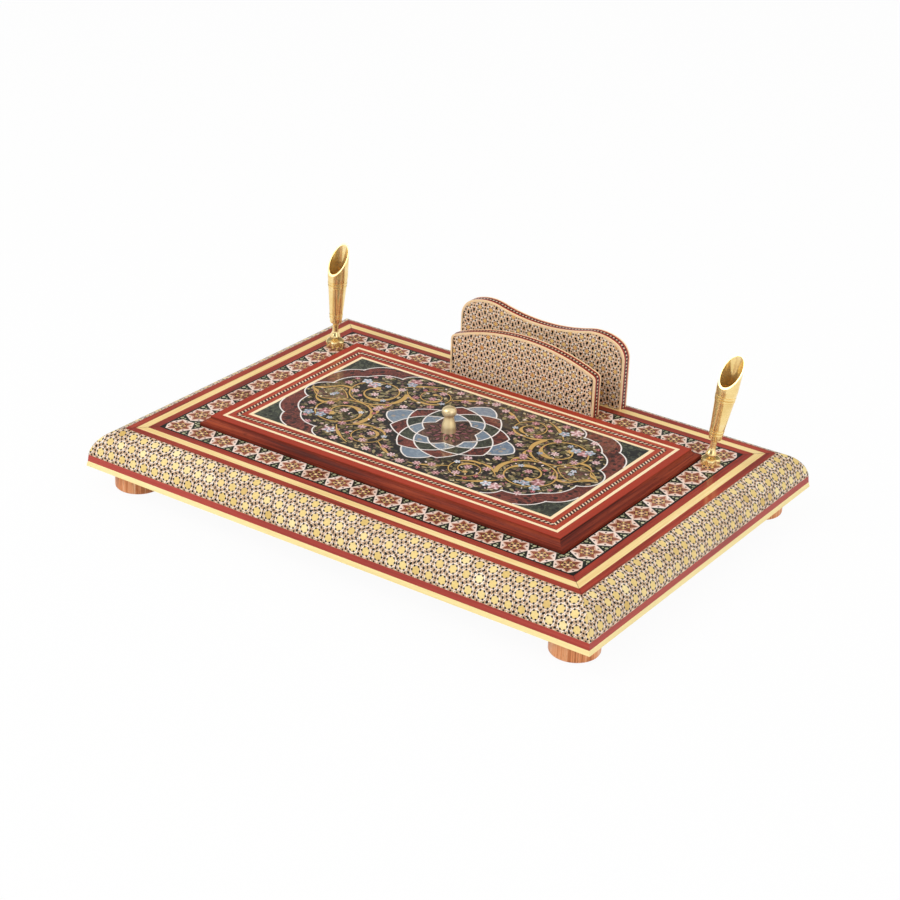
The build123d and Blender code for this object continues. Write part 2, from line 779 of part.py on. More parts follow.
def make_funnel(hand, place):
    """Slanted brass funnel with a ball socket under its neck, leaning as the holder stands."""
    lean = radians(lean_angle[hand])
    way = radians(lean_direction[hand])
    up = Vector(sin(lean) * cos(way), sin(lean) * sin(way), cos(lean))
    facing = radians(mouth_direction[hand])
    mouth = Vector(cos(facing), sin(facing), 0)
    mouth = (mouth - up * mouth.dot(up)).normalized()
    centre = Vector(*place, deck_top + ball_height)
    axis = Axis(centre, up)
    section = Plane(origin=centre, x_dir=mouth, z_dir=mouth.cross(up))

    socket = ball_radius + running_clearance
    edge_radius = sqrt(socket**2 - socket_edge_drop**2)
    top = mouth_tip_height + mouth_radius
    lower = [*ring(lower_ring_height - ring_spacing / 2), *ring(lower_ring_height + ring_spacing / 2)]
    upper = [*ring(upper_ring_height - ring_spacing / 2), *ring(upper_ring_height + ring_spacing / 2)]
    collar_top = collar_height + collar_edge
    bore_heights = (top, mouth_start_height, upper_ring_height, bore_floor)
    with BuildPart() as funnel:
        with BuildSketch(section):
            with BuildLine():
                ThreePointArc((0, socket), (socket, 0), (edge_radius, -socket_edge_drop))
                Polyline(
                    (edge_radius, -socket_edge_drop), (socket_flare_radius, -socket_rim_drop),
                    (socket_radius, -socket_rim_drop), (socket_radius, socket_band - socket_rim_drop),
                )
                Spline(
                    (socket_radius, socket_band - socket_rim_drop), (neck_radius, neck_low_height),
                    tangents=[skirt_top_tangent, (0, 1)],
                )
                Line((neck_radius, neck_low_height), (neck_radius, neck_high_height))
                Spline(
                    (neck_radius, neck_high_height), (collar_radius, collar_height),
                    tangents=[(0, 1), collar_tangent],
                )
                Polyline(
                    (collar_radius, collar_height), (funnel_radius(collar_top), collar_top), *lower, *upper,
                    (mouth_radius, mouth_start_height), (mouth_radius, top),
                    *[(funnel_radius(height) - funnel_wall, height) for height in bore_heights],
                    (0, bore_floor), (0, socket),
                )
            make_face()
        revolve(axis=axis)
        cut_rise = mouth_tip_height - mouth_low_height
        cut_tilt = atan(cut_rise / (2 * mouth_radius))
        cut_normal = mouth * sin(cut_tilt) + up * cos(cut_tilt)
        cut_centre = centre + up * ((mouth_tip_height + mouth_low_height) / 2)
        with BuildSketch(Plane(origin=cut_centre, z_dir=cut_normal)):
            Rectangle(6 * mouth_radius, 6 * mouth_radius)
        extrude(amount=2 * mouth_tip_height, mode=Mode.SUBTRACT)
    save(funnel.part, f"{hand}_funnel")


def make_holders():
    """The two pen holders."""
    for hand, place in zip(("left", "right"), holder_points):
        make_holder_base(hand, place)
        make_ball_stud(hand, place)
        make_funnel(hand, place)


make_feet()
make_foot_screws()
make_carcass()
make_well()
make_moulding()
make_deck_inlay()
make_rack()
make_lid()
make_knob()
make_holders()
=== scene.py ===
"""Dresses the inlaid desk box: lacquered woods, star inlays, painted lid panel and turned brass.

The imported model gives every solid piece. This script finishes them, lays the inlay tiles and the painted
ornament on them as thin sheets worked out with numpy, and sets the camera, lamps and floor.
Lengths are in millimetres until a mesh is made, which is in metres.
"""

import logging
import math
from dataclasses import dataclass, field
from enum import Enum
from typing import Callable, Iterator

import bpy
import numpy as np
from mathutils import Matrix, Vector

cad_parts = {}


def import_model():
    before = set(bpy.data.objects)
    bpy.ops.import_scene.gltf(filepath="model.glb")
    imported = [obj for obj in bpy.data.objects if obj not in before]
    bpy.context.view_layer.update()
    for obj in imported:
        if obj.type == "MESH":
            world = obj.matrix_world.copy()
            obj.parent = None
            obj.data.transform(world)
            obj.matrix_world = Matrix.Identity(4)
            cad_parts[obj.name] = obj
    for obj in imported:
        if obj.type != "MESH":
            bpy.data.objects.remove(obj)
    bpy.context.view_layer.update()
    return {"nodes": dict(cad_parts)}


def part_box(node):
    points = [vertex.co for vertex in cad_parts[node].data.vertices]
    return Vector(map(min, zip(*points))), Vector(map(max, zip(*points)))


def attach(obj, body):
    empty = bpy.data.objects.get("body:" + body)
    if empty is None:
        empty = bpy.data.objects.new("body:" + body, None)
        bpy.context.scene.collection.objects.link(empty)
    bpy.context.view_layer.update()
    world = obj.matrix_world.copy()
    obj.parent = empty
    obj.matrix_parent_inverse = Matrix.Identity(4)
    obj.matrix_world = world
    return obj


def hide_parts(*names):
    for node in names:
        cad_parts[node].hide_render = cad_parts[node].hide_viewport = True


LOG = logging.getLogger("desk_box")
MM = 0.001
TURN = 2 * math.pi
SIXTH = TURN / 6
TWELFTH = TURN / 12
HEXAGON_HALF_HEIGHT = math.sqrt(0.75)
LIFT_STEP = 0.0025
LIFT_COUNT = 11
SMALLEST_AREA = 1e-7
SMALLEST_LENGTH = 1e-9

Array = np.ndarray
Number = Array | float
Pair = tuple[float, float]
Node = bpy.types.Node
Tree = bpy.types.NodeTree
Socket = bpy.types.NodeSocket
Material = bpy.types.Material
Finishes = dict[str, Material]
Solids = dict[str, bpy.types.Object]
Surface = Callable[[Array, Array, Array], tuple[Array, Array]]


class Layer(Enum):
    """Height of a thin sheet above the surface that carries it, in millimetres."""

    FIELD = 0.03
    SHAPE = 0.06
    LINE = 0.09
    BLOOM = 0.12
    HEART = 0.15
    TOP = 0.18
    PEAK = 0.21


class Side(Enum):
    """Sides of the box, as the unit vector that points out of each."""

    FRONT = (0, -1)
    RIGHT = (1, 0)
    BACK = (0, 1)
    LEFT = (-1, 0)

    @property
    def word(self) -> str:
        """The side's name in small letters."""
        return self.name.lower()

    @property
    def kind(self) -> int:
        """0 for the front and back, 1 for the left and right."""
        return abs(self.value[0])

    def place(self, out: Array, along: Array) -> tuple[Array, Array]:
        """x and y of points that lie so far out from the middle and so far along the side."""
        out_x, out_y = self.value
        return out_x * out - out_y * along, out_y * out + out_x * along


def linear(code: str) -> tuple[float, ...]:
    """Turns a written colour such as A8412F into the linear values a shader takes.

    A share s becomes s / 12.92 up to 0.04045, and ((s + 0.055) / 1.055) to the power 2.4 above.
    """
    parts = np.array([int(code[i : i + 2], 16) for i in (0, 2, 4)]) / 255.0
    values = np.where(parts <= 0.04045, parts / 12.92, ((parts + 0.055) / 1.055) ** 2.4)
    return (*(float(value) for value in values), 1.0)


def cleared(owner: bpy.types.ID) -> Tree:
    """The emptied node tree of a material or world."""
    owner.use_nodes = True
    owner.node_tree.nodes.clear()
    return owner.node_tree


def feed(node: Node, inputs: dict) -> None:
    """Feeds a node.

    Args:
        node: the node.
        inputs: by name or number of an input: a value or socket to link, or a number or written colour to set.
    """
    for key, item in inputs.items():
        item = item.socket if isinstance(item, Value) else item
        if isinstance(item, Socket):
            node.id_data.links.new(item, node.inputs[key])
        else:
            node.inputs[key].default_value = linear(item) if isinstance(item, str) else item


def add_node(tree: Tree, kind: str, inputs: dict | None = None, **settings: str) -> Node:
    """Adds a shader node.

    Args:
        tree: the node tree.
        kind: the node's type, less the word that all shader nodes start with.
        inputs: what feeds its inputs, by name or number.
        settings: its own settings.

    Returns:
        The node.
    """
    node = tree.nodes.new(f"ShaderNode{kind}")
    for name, setting in settings.items():
        setattr(node, name, setting)
    feed(node, inputs or {})
    return node


@dataclass
class Value:
    """One number in a node tree; arithmetic on it adds Math nodes."""

    socket: Socket

    def math(self, operation: str, *others: "Value | float") -> "Value":
        """Adds a Math node with the number and others as its inputs."""
        numbers = dict(enumerate((self, *others)))
        return Value(add_node(self.socket.id_data, "Math", numbers, operation=operation).outputs[0])

    def __add__(self, other: "Value | float") -> "Value":
        """Sum."""
        return self.math("ADD", other)

    def __sub__(self, other: "Value | float") -> "Value":
        """Difference."""
        return self.math("SUBTRACT", other)

    def __mul__(self, other: "Value | float") -> "Value":
        """Product."""
        return self.math("MULTIPLY", other)

    def span(self, low: float, high: float, to_low: float, to_high: float) -> "Value":
        """Carries the number from one range to another, held at its ends."""
        numbers = dict(enumerate((self, low, high, to_low, to_high)))
        return Value(add_node(self.socket.id_data, "MapRange", numbers).outputs[0])

    def ramp(self, stops: list[tuple[float, str | float]]) -> Socket:
        """Colours along the number.

        Args:
            stops: positions, each with a written colour or a share of white.

        Returns:
            The colour.
        """
        node = add_node(self.socket.id_data, "ValToRGB", {0: self})
        elements = node.color_ramp.elements
        while len(elements) < len(stops):
            elements.new(1.0)
        for element, (position, colour) in zip(elements, stops):
            element.position = position
            element.color = linear(colour) if isinstance(colour, str) else (colour, colour, colour, 1.0)
        return node.outputs[0]


class Paint:
    """A material's node tree, with short calls for the nodes that the finishes share."""

    def __init__(self, name: str) -> None:
        """Starts a material with one Principled shader."""
        self.material = bpy.data.materials.new(name)
        self.tree = cleared(self.material)
        self.shader = self.node("BsdfPrincipled")
        self.node("OutputMaterial", {0: self.shader.outputs[0]})
        self.place = self.node("TexCoord").outputs["Object"]

    def node(self, kind: str, inputs: dict | None = None, **settings: str) -> Node:
        """Adds a node."""
        return add_node(self.tree, kind, inputs, **settings)

    def axes(self) -> list[Value]:
        """The Object coordinates as three values, in metres."""
        return [Value(output) for output in self.node("SeparateXYZ", {0: self.place}).outputs]

    def stretched(self, across: float, up: float | None = None) -> Socket:
        """The Object coordinates times a scale across and a scale up, or one scale."""
        scale = (across, across, across if up is None else up)
        return self.node("Mapping", {"Vector": self.place, "Scale": scale}).outputs[0]

    def noise(self, where: Socket, detail: float = 3.0, twist: float = 0.0, scale: float = 1.0) -> Value:
        """Noise at a vector."""
        inputs = {"Vector": where, "Scale": scale, "Detail": detail, "Distortion": twist}
        return Value(self.node("TexNoise", inputs).outputs["Fac"])

    def cells(self, where: Socket, scale: float) -> tuple[Value, Value]:
        """Distance to the nearest of scattered points, and a random number for each point."""
        node = self.node("TexVoronoi", {"Vector": where, "Scale": scale})
        red = self.node("SeparateColor", {0: node.outputs["Color"]})
        return Value(node.outputs["Distance"]), Value(red.outputs[0])

    def mix(self, share: Value | float, first: Socket, second: Socket | str) -> Socket:
        """Two colours mixed by a share."""
        return self.node("Mix", {0: share, 6: first, 7: second}, data_type="RGBA").outputs[2]

    def done(self, colour: Socket, roughness: Value, height: Value, depth: float, **others: float) -> Material:
        """Feeds the shader.

        Args:
            colour: base colour.
            roughness: roughness.
            height: what the bump follows.
            depth: its depth in metres.
            others: further inputs, each named as on the shader with _ for a space.

        Returns:
            The material.
        """
        bump = self.node("Bump", {"Distance": depth, "Height": height})
        feed(self.shader, {"Base Color": colour, "Roughness": roughness, "Normal": bump.outputs[0]})
        feed(self.shader, {name.replace("_", " "): number for name, number in others.items()})
        return self.material


@dataclass(frozen=True)
class Frame:
    """A mitred frame seen from above: its outer half sizes, the middle of its depth and the height of its top."""

    half_x: float
    half_y: float
    centre_y: float
    top: float

    def run(self, side: Side) -> float:
        """Half the length of a side's outer edge."""
        return (self.half_x, self.half_y)[side.kind]

    def out(self, side: Side) -> float:
        """Distance of a side's outer edge from the middle."""
        return (self.half_y, self.half_x)[side.kind]

    def surface(self, side: Side) -> Surface:
        """Flat top of one side: u runs along the edge from its middle and v inwards from the edge."""

        def place(u: Array, v: Array, height: Array) -> tuple[Array, Array]:
            """Points and directions."""
            x, y = side.place(self.out(side) - v, u)
            return stacked(x, y + self.centre_y, self.top + height), stacked(0.0 * x, 0.0, 1.0)

        return place

    def panel(self, u: Array, v: Array, height: Array) -> tuple[Array, Array]:
        """Flat top as a whole: u to the right and v to the back from its middle."""
        return stacked(u, v + self.centre_y, self.top + height), stacked(0.0 * u, 0.0, 1.0)


@dataclass(frozen=True)
class Finish:
    """A material with a name and three tones."""

    name: str
    dark: str
    body: str
    light: str

    def tones(self, value: Value, *places: float) -> Socket:
        """The three tones at three places along a value."""
        return value.ramp(list(zip(places, (self.dark, self.body, self.light))))


@dataclass(frozen=True)
class Wood(Finish):
    """Straight-grained wood under lacquer.

    The grain is noise drawn out along the run of the piece. A piece of a mitred frame runs along X where it
    is further from the frame's middle across than along, and along Y otherwise.
    """

    frame: Frame | None = None
    upright: bool = False
    coat: float = 0.25
    roughness: float = 0.42
    grain: float = 1.0
    relief: float = 0.00002
    # level: a height in millimetres and a red. Above it the colour is mixed toward that red, so on the lid rails
    # the cove below stays darker brown than the flat top: painted shade.
    level: tuple[float, str] | None = None

    def build(self) -> Material:
        """Makes the material."""
        paint = Paint(self.name)
        x, y, z = paint.axes()
        along, across, other = x, y, z
        if self.frame is not None:
            beyond_x = x.math("ABSOLUTE") - self.frame.half_x * MM
            beyond_y = (y - self.frame.centre_y * MM).math("ABSOLUTE") - self.frame.half_y * MM
            turned = beyond_x.math("GREATER_THAN", beyond_y)
            along, across = turned * (y - x) + x, turned * (x - y) + y
        elif self.upright:
            along, across, other = z, x + y * 1.7, y

        def drawn_out(run: float, fine: float, detail: float, twist: float = 0.0) -> Value:
            """Noise with its own fineness along the grain and across it."""
            parts = dict(enumerate((along * run, across * fine, other * fine)))
            return paint.noise(paint.node("CombineXYZ", parts).outputs[0], detail, twist)

        streaks = drawn_out(14.0, 620.0, 4.0, 0.6)
        clouds = drawn_out(9.0, 60.0, 2.0)
        pores = drawn_out(160.0, 2600.0, 2.0)
        tone = streaks * (0.62 * self.grain) + clouds * (0.5 * self.grain) + (0.5 - 0.56 * self.grain)
        fleck = pores.span(0.60, 0.72, 0.0, 0.5 * self.grain)
        colour = paint.mix(fleck, self.tones(tone, 0.22, 0.5, 0.8), self.dark)
        # Painted shade on the lid rails: below the level the darker tones stand for the shade in the cove, and
        # above it the flat top is mixed toward red.
        if self.level is not None:
            above = z.math("GREATER_THAN", self.level[0] * MM)
            colour = paint.mix(above * streaks.span(0.2, 0.7, 0.7, 1.0), colour, self.level[1])
        roughness = streaks.span(0.2, 0.8, self.roughness - 0.06, self.roughness + 0.08)
        return paint.done(
            colour, roughness, streaks * 0.7 + pores * 0.3, self.relief,
            Coat_Weight=self.coat, Coat_Roughness=0.1, Specular_IOR_Level=0.2,
        )


@dataclass(frozen=True)
class Tile(Finish):
    """Inlay tile of wood, bone or wire: each tile has its own tone, from the mesh, and a fine grain."""

    def build(self) -> Material:
        """Makes the material."""
        paint = Paint(self.name)
        own = Value(paint.node("Attribute", attribute_name="tone").outputs["Fac"])
        grain = paint.noise(paint.stretched(900.0))
        colour = self.tones(own * 0.7 + grain * 0.3, 0.2, 0.5, 0.8)
        return paint.done(
            colour, grain.span(0.2, 0.8, 0.33, 0.46), grain, 0.00001,
            Coat_Weight=0.15, Coat_Roughness=0.12, Specular_IOR_Level=0.2,
        )


@dataclass(frozen=True)
class Brass(Finish):
    """Turned metal: rings of fine tool marks round the axis, and a little tarnish."""

    shine: float
    marks: float = 0.00001
    metallic: float = 1.0

    def build(self) -> Material:
        """Makes the material."""
        paint = Paint(self.name)
        rings = paint.noise(paint.stretched(40.0, 3500.0), 2.0)
        stain = paint.noise(paint.stretched(60.0, 90.0), 4.0, 0.4)
        tone = stain * 0.75 + rings * 0.25
        roughness = tone.span(0.3, 0.7, self.shine * 0.8, self.shine * 1.35)
        return paint.done(self.tones(tone, 0.3, 0.52, 0.75), roughness, rings, self.marks, Metallic=self.metallic)


@dataclass(frozen=True)
class Curls:
    """Painted field of fine curled stems and leaves.

    Curls are the level lines of a twisted noise; small leaves and buds are scattered points of it.
    """

    name: str
    ground: str
    stem: str
    leaf: str
    bud: str
    fineness: float = 1.0

    def build(self) -> Material:
        """Makes the material."""
        paint = Paint(self.name)
        base = paint.stretched(1000.0 / self.fineness)
        flow = paint.noise(base, 1.0, 2.6, 0.14)
        level = (flow * 3.5).math("FRACT") - 0.5
        line = level.math("ABSOLUTE").span(0.12, 0.2, 1.0, 0.0)
        distance, chance = paint.cells(base, 0.34)
        spot = distance.span(0.34, 0.44, 1.0, 0.0)
        shade = paint.noise(base, scale=0.05)
        colour = paint.mix(0.35, shade.ramp([(0.3, self.ground), (0.8, self.stem)]), self.ground)
        colour = paint.mix(line * 0.75, colour, self.stem)
        colour = paint.mix(spot * chance.math("GREATER_THAN", 0.3) * 0.85, colour, self.leaf)
        colour = paint.mix(spot * chance.math("GREATER_THAN", 0.66), colour, self.bud)
        return paint.done(
            colour, shade.span(0.2, 0.8, 0.38, 0.5), line * 0.5 + spot * 0.5, 0.00001,
            Coat_Weight=0.9, Coat_Roughness=0.05, Specular_IOR_Level=0.25,
        )


@dataclass(frozen=True)
class Felt(Finish):
    """Wool felt: short fibres in every direction, with soft lighter clouds."""

    def build(self) -> Material:
        """Makes the material."""
        paint = Paint(self.name)
        fibres = paint.noise(paint.stretched(2600.0), 5.0, 2.0)
        clouds = paint.noise(paint.stretched(70.0))
        colour = self.tones(fibres * 0.6 + clouds * 0.4, 0.3, 0.5, 0.72)
        roughness = fibres.span(0.2, 0.8, 0.85, 1.0)
        return paint.done(colour, roughness, fibres, 0.0003, Sheen_Weight=0.35, Specular_IOR_Level=0.15)


TILES = (
    "pale_bone_ground C8A684 E6CAAC F6E2C8",
    "rack_bone_ground ECCEB0 FFECD4 FFF8EC",
    "warm_bone E8D2BC F6E4D0 FCF0E2",
    "pinkish_bone E0C2B0 F2DACC FCECE2",
    "rack_bone DCC0A0 F0DAC0 FFF0DE",
    "golden_wood D2AE62 ECD086 FBEAB4",
    "orange_wood A0522E D8943E FADC84",
    "tan_star_wood B4765A D29A7A E8BC9E",
    "rope_wood DCB48E F2D8B6 FFEEDA",
    "ebony 080504 120B09 2A1A15",
    "umber_wood 200A06 38130C 522016",
    "white_bone F4E8D8 FFF6EA FFFCF6",
    "brown_star_wood 66301C 8E4A32 B0705A",
    "blush_star_wood C08E74 DAAC92 EECBB6",
    "dark_green_wood 1C1F16 34392A 50563E",
    "sage_wood 8C9070 B4B48E D8D6B4",
    "straw_wood C8B04E E4D27C F6EAA8",
    "painted_black 070504 0E0A08 1A1410",
    "painted_gold 9A7436 CCA35E EAD09C",
    "painted_white D6CAC2 F0E8E2 FCF8F4",
    "painted_pink 8C4E54 BE8C8C F4E2DE",
    "painted_pale_blue 6A8092 A4B4C2 ECF0F2",
    "painted_olive 38341F 6E6442 A4966E",
    "painted_straw 7A6644 B49C72 E2D2AC",
    "painted_crimson 7A2C34 B65C62 F0C4C4",
)
CURLS = (
    ("painted_night_ground 0A0706 2E241C 4A4630 7A5850", 1.0),
    ("painted_rust_field 2A0E0A 94483A 120605 74382A", 1.3),
    ("painted_green_field 0C100C 5E624E 0A0C09 40443A", 1.3),
    ("painted_plum_field 180E0E 86604E 2A1414 6A4238", 1.3),
    ("painted_blue_field 687A90 94A0A8 8E9CAA A89C90", 1.5),
)


def make_finishes(deck: Frame, lid: Frame) -> Finishes:
    """Makes every finish of the box once, under its own name."""
    raw = {"coat": 0.0, "roughness": 0.6, "relief": 0.00005}
    # The cove's darker brown is painted shade over the wood's own grain; its level turns the flat top above 49.4 mm
    # red.
    cove = {"grain": 1.6, "coat": 0.02, "roughness": 0.62, "level": (49.4, "AB3B27")}
    finishes = [
        Wood("deck_red_wood", "6C1C0C", "A2331F", "C04C32", deck, coat=0.8, grain=1.4),
        Wood("moulding_red_wood", "8E2F25", "AE4034", "BE5044", deck, coat=0.15),
        Wood("lid_red_wood", "7A2412", "B03C24", "CC5A3A", lid, coat=0.6, grain=1.4),
        Wood("cove_wood_painted_shade", "3C1008", "7A2A18", "A24628", lid, **cove),
        Wood("yellow_wood", "E2BA70", "F8DA98", "FFEEC0", deck, grain=0.9),
        Wood("moulding_cream_wood", "EACF8A", "FBE6A4", "FFF0BC", deck, grain=0.6),
        Wood("lid_cream_wood", "F6D6A4", "FFE7BC", "FFF0D0", lid, grain=0.5),
        Wood("rack_cream_wood", "F2CD96", "FFDFAF", "FFEBC8", upright=True, grain=0.5),
        Wood("rack_red_wood", "862618", "A83624", "BC4830", upright=True),
        Wood("foot_wood", "A8582E", "F0A26C", "FFD2A8", upright=True, grain=1.8, coat=0.1, relief=0.00008),
        Wood("plywood", "B98F5C", "CDA671", "DDBB8B", **raw),
        Wood("carcass_wood", "7A4D30", "936244", "A97857", **raw),
        Brass("polished_brass", "E8C47A", "FCE09C", "FFF0C0", 0.15, metallic=0.78),
        Brass("satin_brass", "EACC92", "F8E0AC", "FFF2CE", 0.3, 0.000004, 0.8),
        Brass("zinc_plated_steel", "8A8C90", "A9ABAF", "C4C6CA", 0.3),
        Felt("wool_felt", "3A0A10", "5C121A", "7A2229"),
    ]
    finishes += [Tile(*row.split()) for row in TILES]
    finishes += [Curls(*row.split(), fineness) for row, fineness in CURLS]
    return {finish.name: finish.build() for finish in finishes}


def give(nodes: Solids, finishes: Finishes, table: dict[str, str]) -> None:
    """Gives solids the finish named for each."""
    for name, finish in table.items():
        nodes[name].data.materials.clear()
        nodes[name].data.materials.append(finishes[finish])
        LOG.info("%s: %s", name, finish)


def stacked(*parts: Number) -> Array:
    """Numbers side by side as the last axis of one array."""
    return np.stack(np.broadcast_arrays(*parts), axis=-1)


def polar(radius: Number, angle: Number) -> Array:
    """Points from their distances and angles: x = r cos a, y = r sin a."""
    return stacked(radius * np.cos(angle), radius * np.sin(angle))


def radial(radius: Array, start: float = 0.0) -> Array:
    """An outline from its radius at even steps of angle."""
    return polar(radius, start + np.arange(len(radius)) * (TURN / len(radius)))


def even(count: int, radius: float) -> Array:
    """A regular outline of some corners."""
    return radial(np.full(count, radius))


def fan(outline: Array) -> tuple[Array, Array]:
    """A closed outline as triangles about its middle, which is its last corner."""
    n = len(outline)
    i = np.arange(n)
    return np.concatenate([outline, outline.mean(axis=0, keepdims=True)]), stacked(n, i, (i + 1) % n)


def star_radius(tip: float, notch: float, count: int, samples: int) -> Array:
    """Radius of a straight-edged star at even steps of angle.

    The edge from a tip at angle 0 to a notch at half a step is a straight line, so the radius is the line's
    distance over the cosine of the angle from its normal.

    Args:
        tip: distance of the tips.
        notch: distance of the notches.
        count: number of tips.
        samples: number of steps.

    Returns:
        The radius at each step.
    """
    step = TURN / count
    half = step / 2
    folded = np.abs((np.arange(samples) * (TURN / samples) + half) % step - half)
    normal = math.atan2(tip - notch * math.cos(half), notch * math.sin(half))
    return tip * math.cos(normal) / np.cos(folded - normal)


def ring_between(inner: Array, outer: Array) -> tuple[Array, Array]:
    """The band between two outlines of equal length, as triangles."""
    n = len(inner)
    i, j = np.arange(n), (np.arange(n) + 1) % n
    return np.concatenate([inner, outer]), np.concatenate([stacked(i, i + n, j), stacked(j, i + n, j + n)])


def honeycomb(low: Pair, high: Pair, pitch: float, rise: float) -> Array:
    """Centres of a hexagon lattice: rows along u, a rise apart, every second one half a pitch on.

    Args:
        low: lowest u and v.
        high: highest u and v.
        pitch: step along a row.
        rise: step from row to row.

    Returns:
        (k, 2) centres.
    """
    columns = np.arange(math.floor(low[0] / pitch) - 1, math.ceil(high[0] / pitch) + 2)
    rows = np.arange(0, math.ceil((high[1] - low[1]) / rise) + 1)
    row, column = np.meshgrid(rows, columns, indexing="ij")
    return stacked((column + 0.5 * (row % 2)) * pitch, low[1] + row * rise).reshape(-1, 2)


@dataclass
class Sheet:
    """Flat shapes gathered in surface coordinates (u, v) before they are laid on a surface."""

    points: list[Array] = field(default_factory=list)
    faces: list[Array] = field(default_factory=list)
    tones: list[Array] = field(default_factory=list)
    lifts: list[Array] = field(default_factory=list)
    count: int = 0
    lots: int = 0

    def add(self, points: Array, faces: Array, tone: Number, copies: int = 1) -> None:
        """Adds one lot of shapes.

        No two shapes that follow one another lie at the same height, because faces that share a plane turn black
        where they cross: the shapes are lifted by none to ten steps in turn.

        Args:
            points: (n, 2) corners.
            faces: (m, 3) triangles, numbered within the lot.
            tone: one number for each corner, or one for all.
            copies: how many equal shapes the lot holds.
        """
        steps = (self.lots + np.arange(copies)) % LIFT_COUNT
        self.points.append(points)
        self.faces.append(faces + self.count)
        self.tones.append(np.broadcast_to(np.asarray(tone, float), (len(points),)))
        self.lifts.append(np.repeat(steps * LIFT_STEP, len(points) // copies))
        self.count += len(points)
        self.lots += copies

    def scatter(
        self, shape: Array, centres: Array, angles: Number = 0.0, sizes: Number = 1.0,
        tones: Number = 0.5, shade: Number = 0.0, faces: Array | None = None,
    ) -> None:
        """Adds copies of one shape.

        Each corner is the shape's corner times the copy's size, turned by its angle and moved to its centre.

        Args:
            shape: (n, 2) corners about the origin.
            centres: (k, 2) places.
            angles: turn of each copy in radians.
            sizes: size of each copy.
            tones: tone of each copy.
            shade: tone added to each corner of the shape.
            faces: (m, 3) triangles, or None for a closed outline, whose middle is then its last corner.
        """
        if faces is None:
            shape, faces = fan(shape)
        k = len(centres)
        cos, sin = (np.broadcast_to(part(angles) * sizes, (k,))[:, None] for part in (np.cos, np.sin))
        x = shape[None, :, 0] * cos - shape[None, :, 1] * sin + centres[:, :1]
        y = shape[None, :, 0] * sin + shape[None, :, 1] * cos + centres[:, 1:2]
        steps = (np.arange(k) * len(shape))[:, None, None]
        tone = np.broadcast_to(tones, (k,))[:, None] + np.broadcast_to(shade, (len(shape),))
        self.add(stacked(x, y).reshape(-1, 2), (faces[None] + steps).reshape(-1, 3), tone.ravel(), k)

    def between(self, low: Array, high: Array, rows: int = 1, tone: float = 0.5) -> None:
        """Adds the ruled surface between two lines of equal length: low + share * (high - low)."""
        share = np.linspace(0.0, 1.0, rows + 1)[:, None, None]
        points = (low[None] + share * (high - low)[None]).reshape(-1, 2)
        n = len(low)
        i = (np.arange(rows)[:, None] * n + np.arange(n - 1)[None]).ravel()
        self.add(points, np.concatenate([stacked(i, i + 1, i + n), stacked(i + 1, i + n + 1, i + n)]), tone)

    def ribbon(self, line: Array, half_width: Number, tone: float = 0.5) -> None:
        """Adds a ribbon along a line: each point is moved to both sides, square to the line, by the half width."""
        run = np.gradient(line, axis=0)
        run /= np.maximum(np.linalg.norm(run, axis=1, keepdims=True), SMALLEST_LENGTH)
        out = stacked(-run[:, 1], run[:, 0]) * np.broadcast_to(half_width, (len(line),))[:, None]
        self.between(line + out, line - out, tone=tone)

    def gathered(self) -> tuple[Array, Array, Array, Array]:
        """All corners, triangles, tones and lifts, with every triangle turned the same way."""
        points, faces = np.concatenate(self.points), np.concatenate(self.faces)
        a, b, c = (points[faces[:, i]] for i in range(3))
        area = (b[:, 0] - a[:, 0]) * (c[:, 1] - a[:, 1]) - (b[:, 1] - a[:, 1]) * (c[:, 0] - a[:, 0])
        faces = np.where((area < 0)[:, None], faces[:, ::-1], faces)[np.abs(area) > SMALLEST_AREA]
        return points, faces, np.concatenate(self.tones), np.concatenate(self.lifts)


def add_object(name: str, data: bpy.types.ID) -> bpy.types.Object:
    """Adds an object to the scene."""
    item = bpy.data.objects.new(name, data)
    bpy.context.scene.collection.objects.link(item)
    return item


def make_piece(
    name: str, points: Array, faces: Array, material: Material, body: str,
    normals: Array | None = None, tones: Array | None = None,
) -> bpy.types.Object:
    """Puts worked-out corners and faces into a new object.

    Args:
        name: the piece's name.
        points: (n, 3) corners in millimetres.
        faces: (m, 3) or (m, 4) faces.
        material: its finish.
        body: the body that it rides on.
        normals: (n, 3) surface directions, where they are known.
        tones: one number for each corner.

    Returns:
        The new object.
    """
    mesh = bpy.data.meshes.new(name)
    corners, sides = faces.size, faces.shape[1]
    mesh.vertices.add(len(points))
    mesh.vertices.foreach_set("co", (points * MM).astype(np.float32).ravel())
    mesh.loops.add(corners)
    mesh.loops.foreach_set("vertex_index", faces.astype(np.int32).ravel())
    mesh.polygons.add(len(faces))
    mesh.polygons.foreach_set("loop_start", np.arange(0, corners, sides, dtype=np.int32))
    mesh.update(calc_edges=True)
    mesh.polygons.foreach_set("use_smooth", np.ones(len(faces), bool))
    if tones is not None:
        mesh.attributes.new("tone", "FLOAT", "POINT").data.foreach_set("value", tones.astype(np.float32))
    if normals is not None:
        mesh.normals_split_custom_set_from_vertices(normals.astype(np.float32))
    mesh.materials.append(material)
    mesh.validate()
    piece = add_object(name, mesh)
    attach(piece, body)
    LOG.info("%s: %d faces on %s", name, len(mesh.polygons), body)
    return piece


def lay(
    name: str, sheet: Sheet, surface: Surface, layer: Layer, material: Material, body: str
) -> bpy.types.Object:
    """Lays gathered shapes on a surface.

    Args:
        name: the piece's name.
        sheet: the shapes.
        surface: what carries them.
        layer: height above the surface.
        material: their finish.
        body: the body that they ride on.

    Returns:
        The new piece.
    """
    flat, faces, tones, lifts = sheet.gathered()
    points, normals = surface(flat[:, 0], flat[:, 1], layer.value + lifts)
    a, b, c = (points[faces[:, i]] for i in range(3))
    turned = (np.cross(b - a, c - a) * normals[faces[:, 0]]).sum(axis=1) < 0
    faces = np.where(turned[:, None], faces[:, ::-1], faces)
    return make_piece(name, points, faces, material, body, normals, tones)


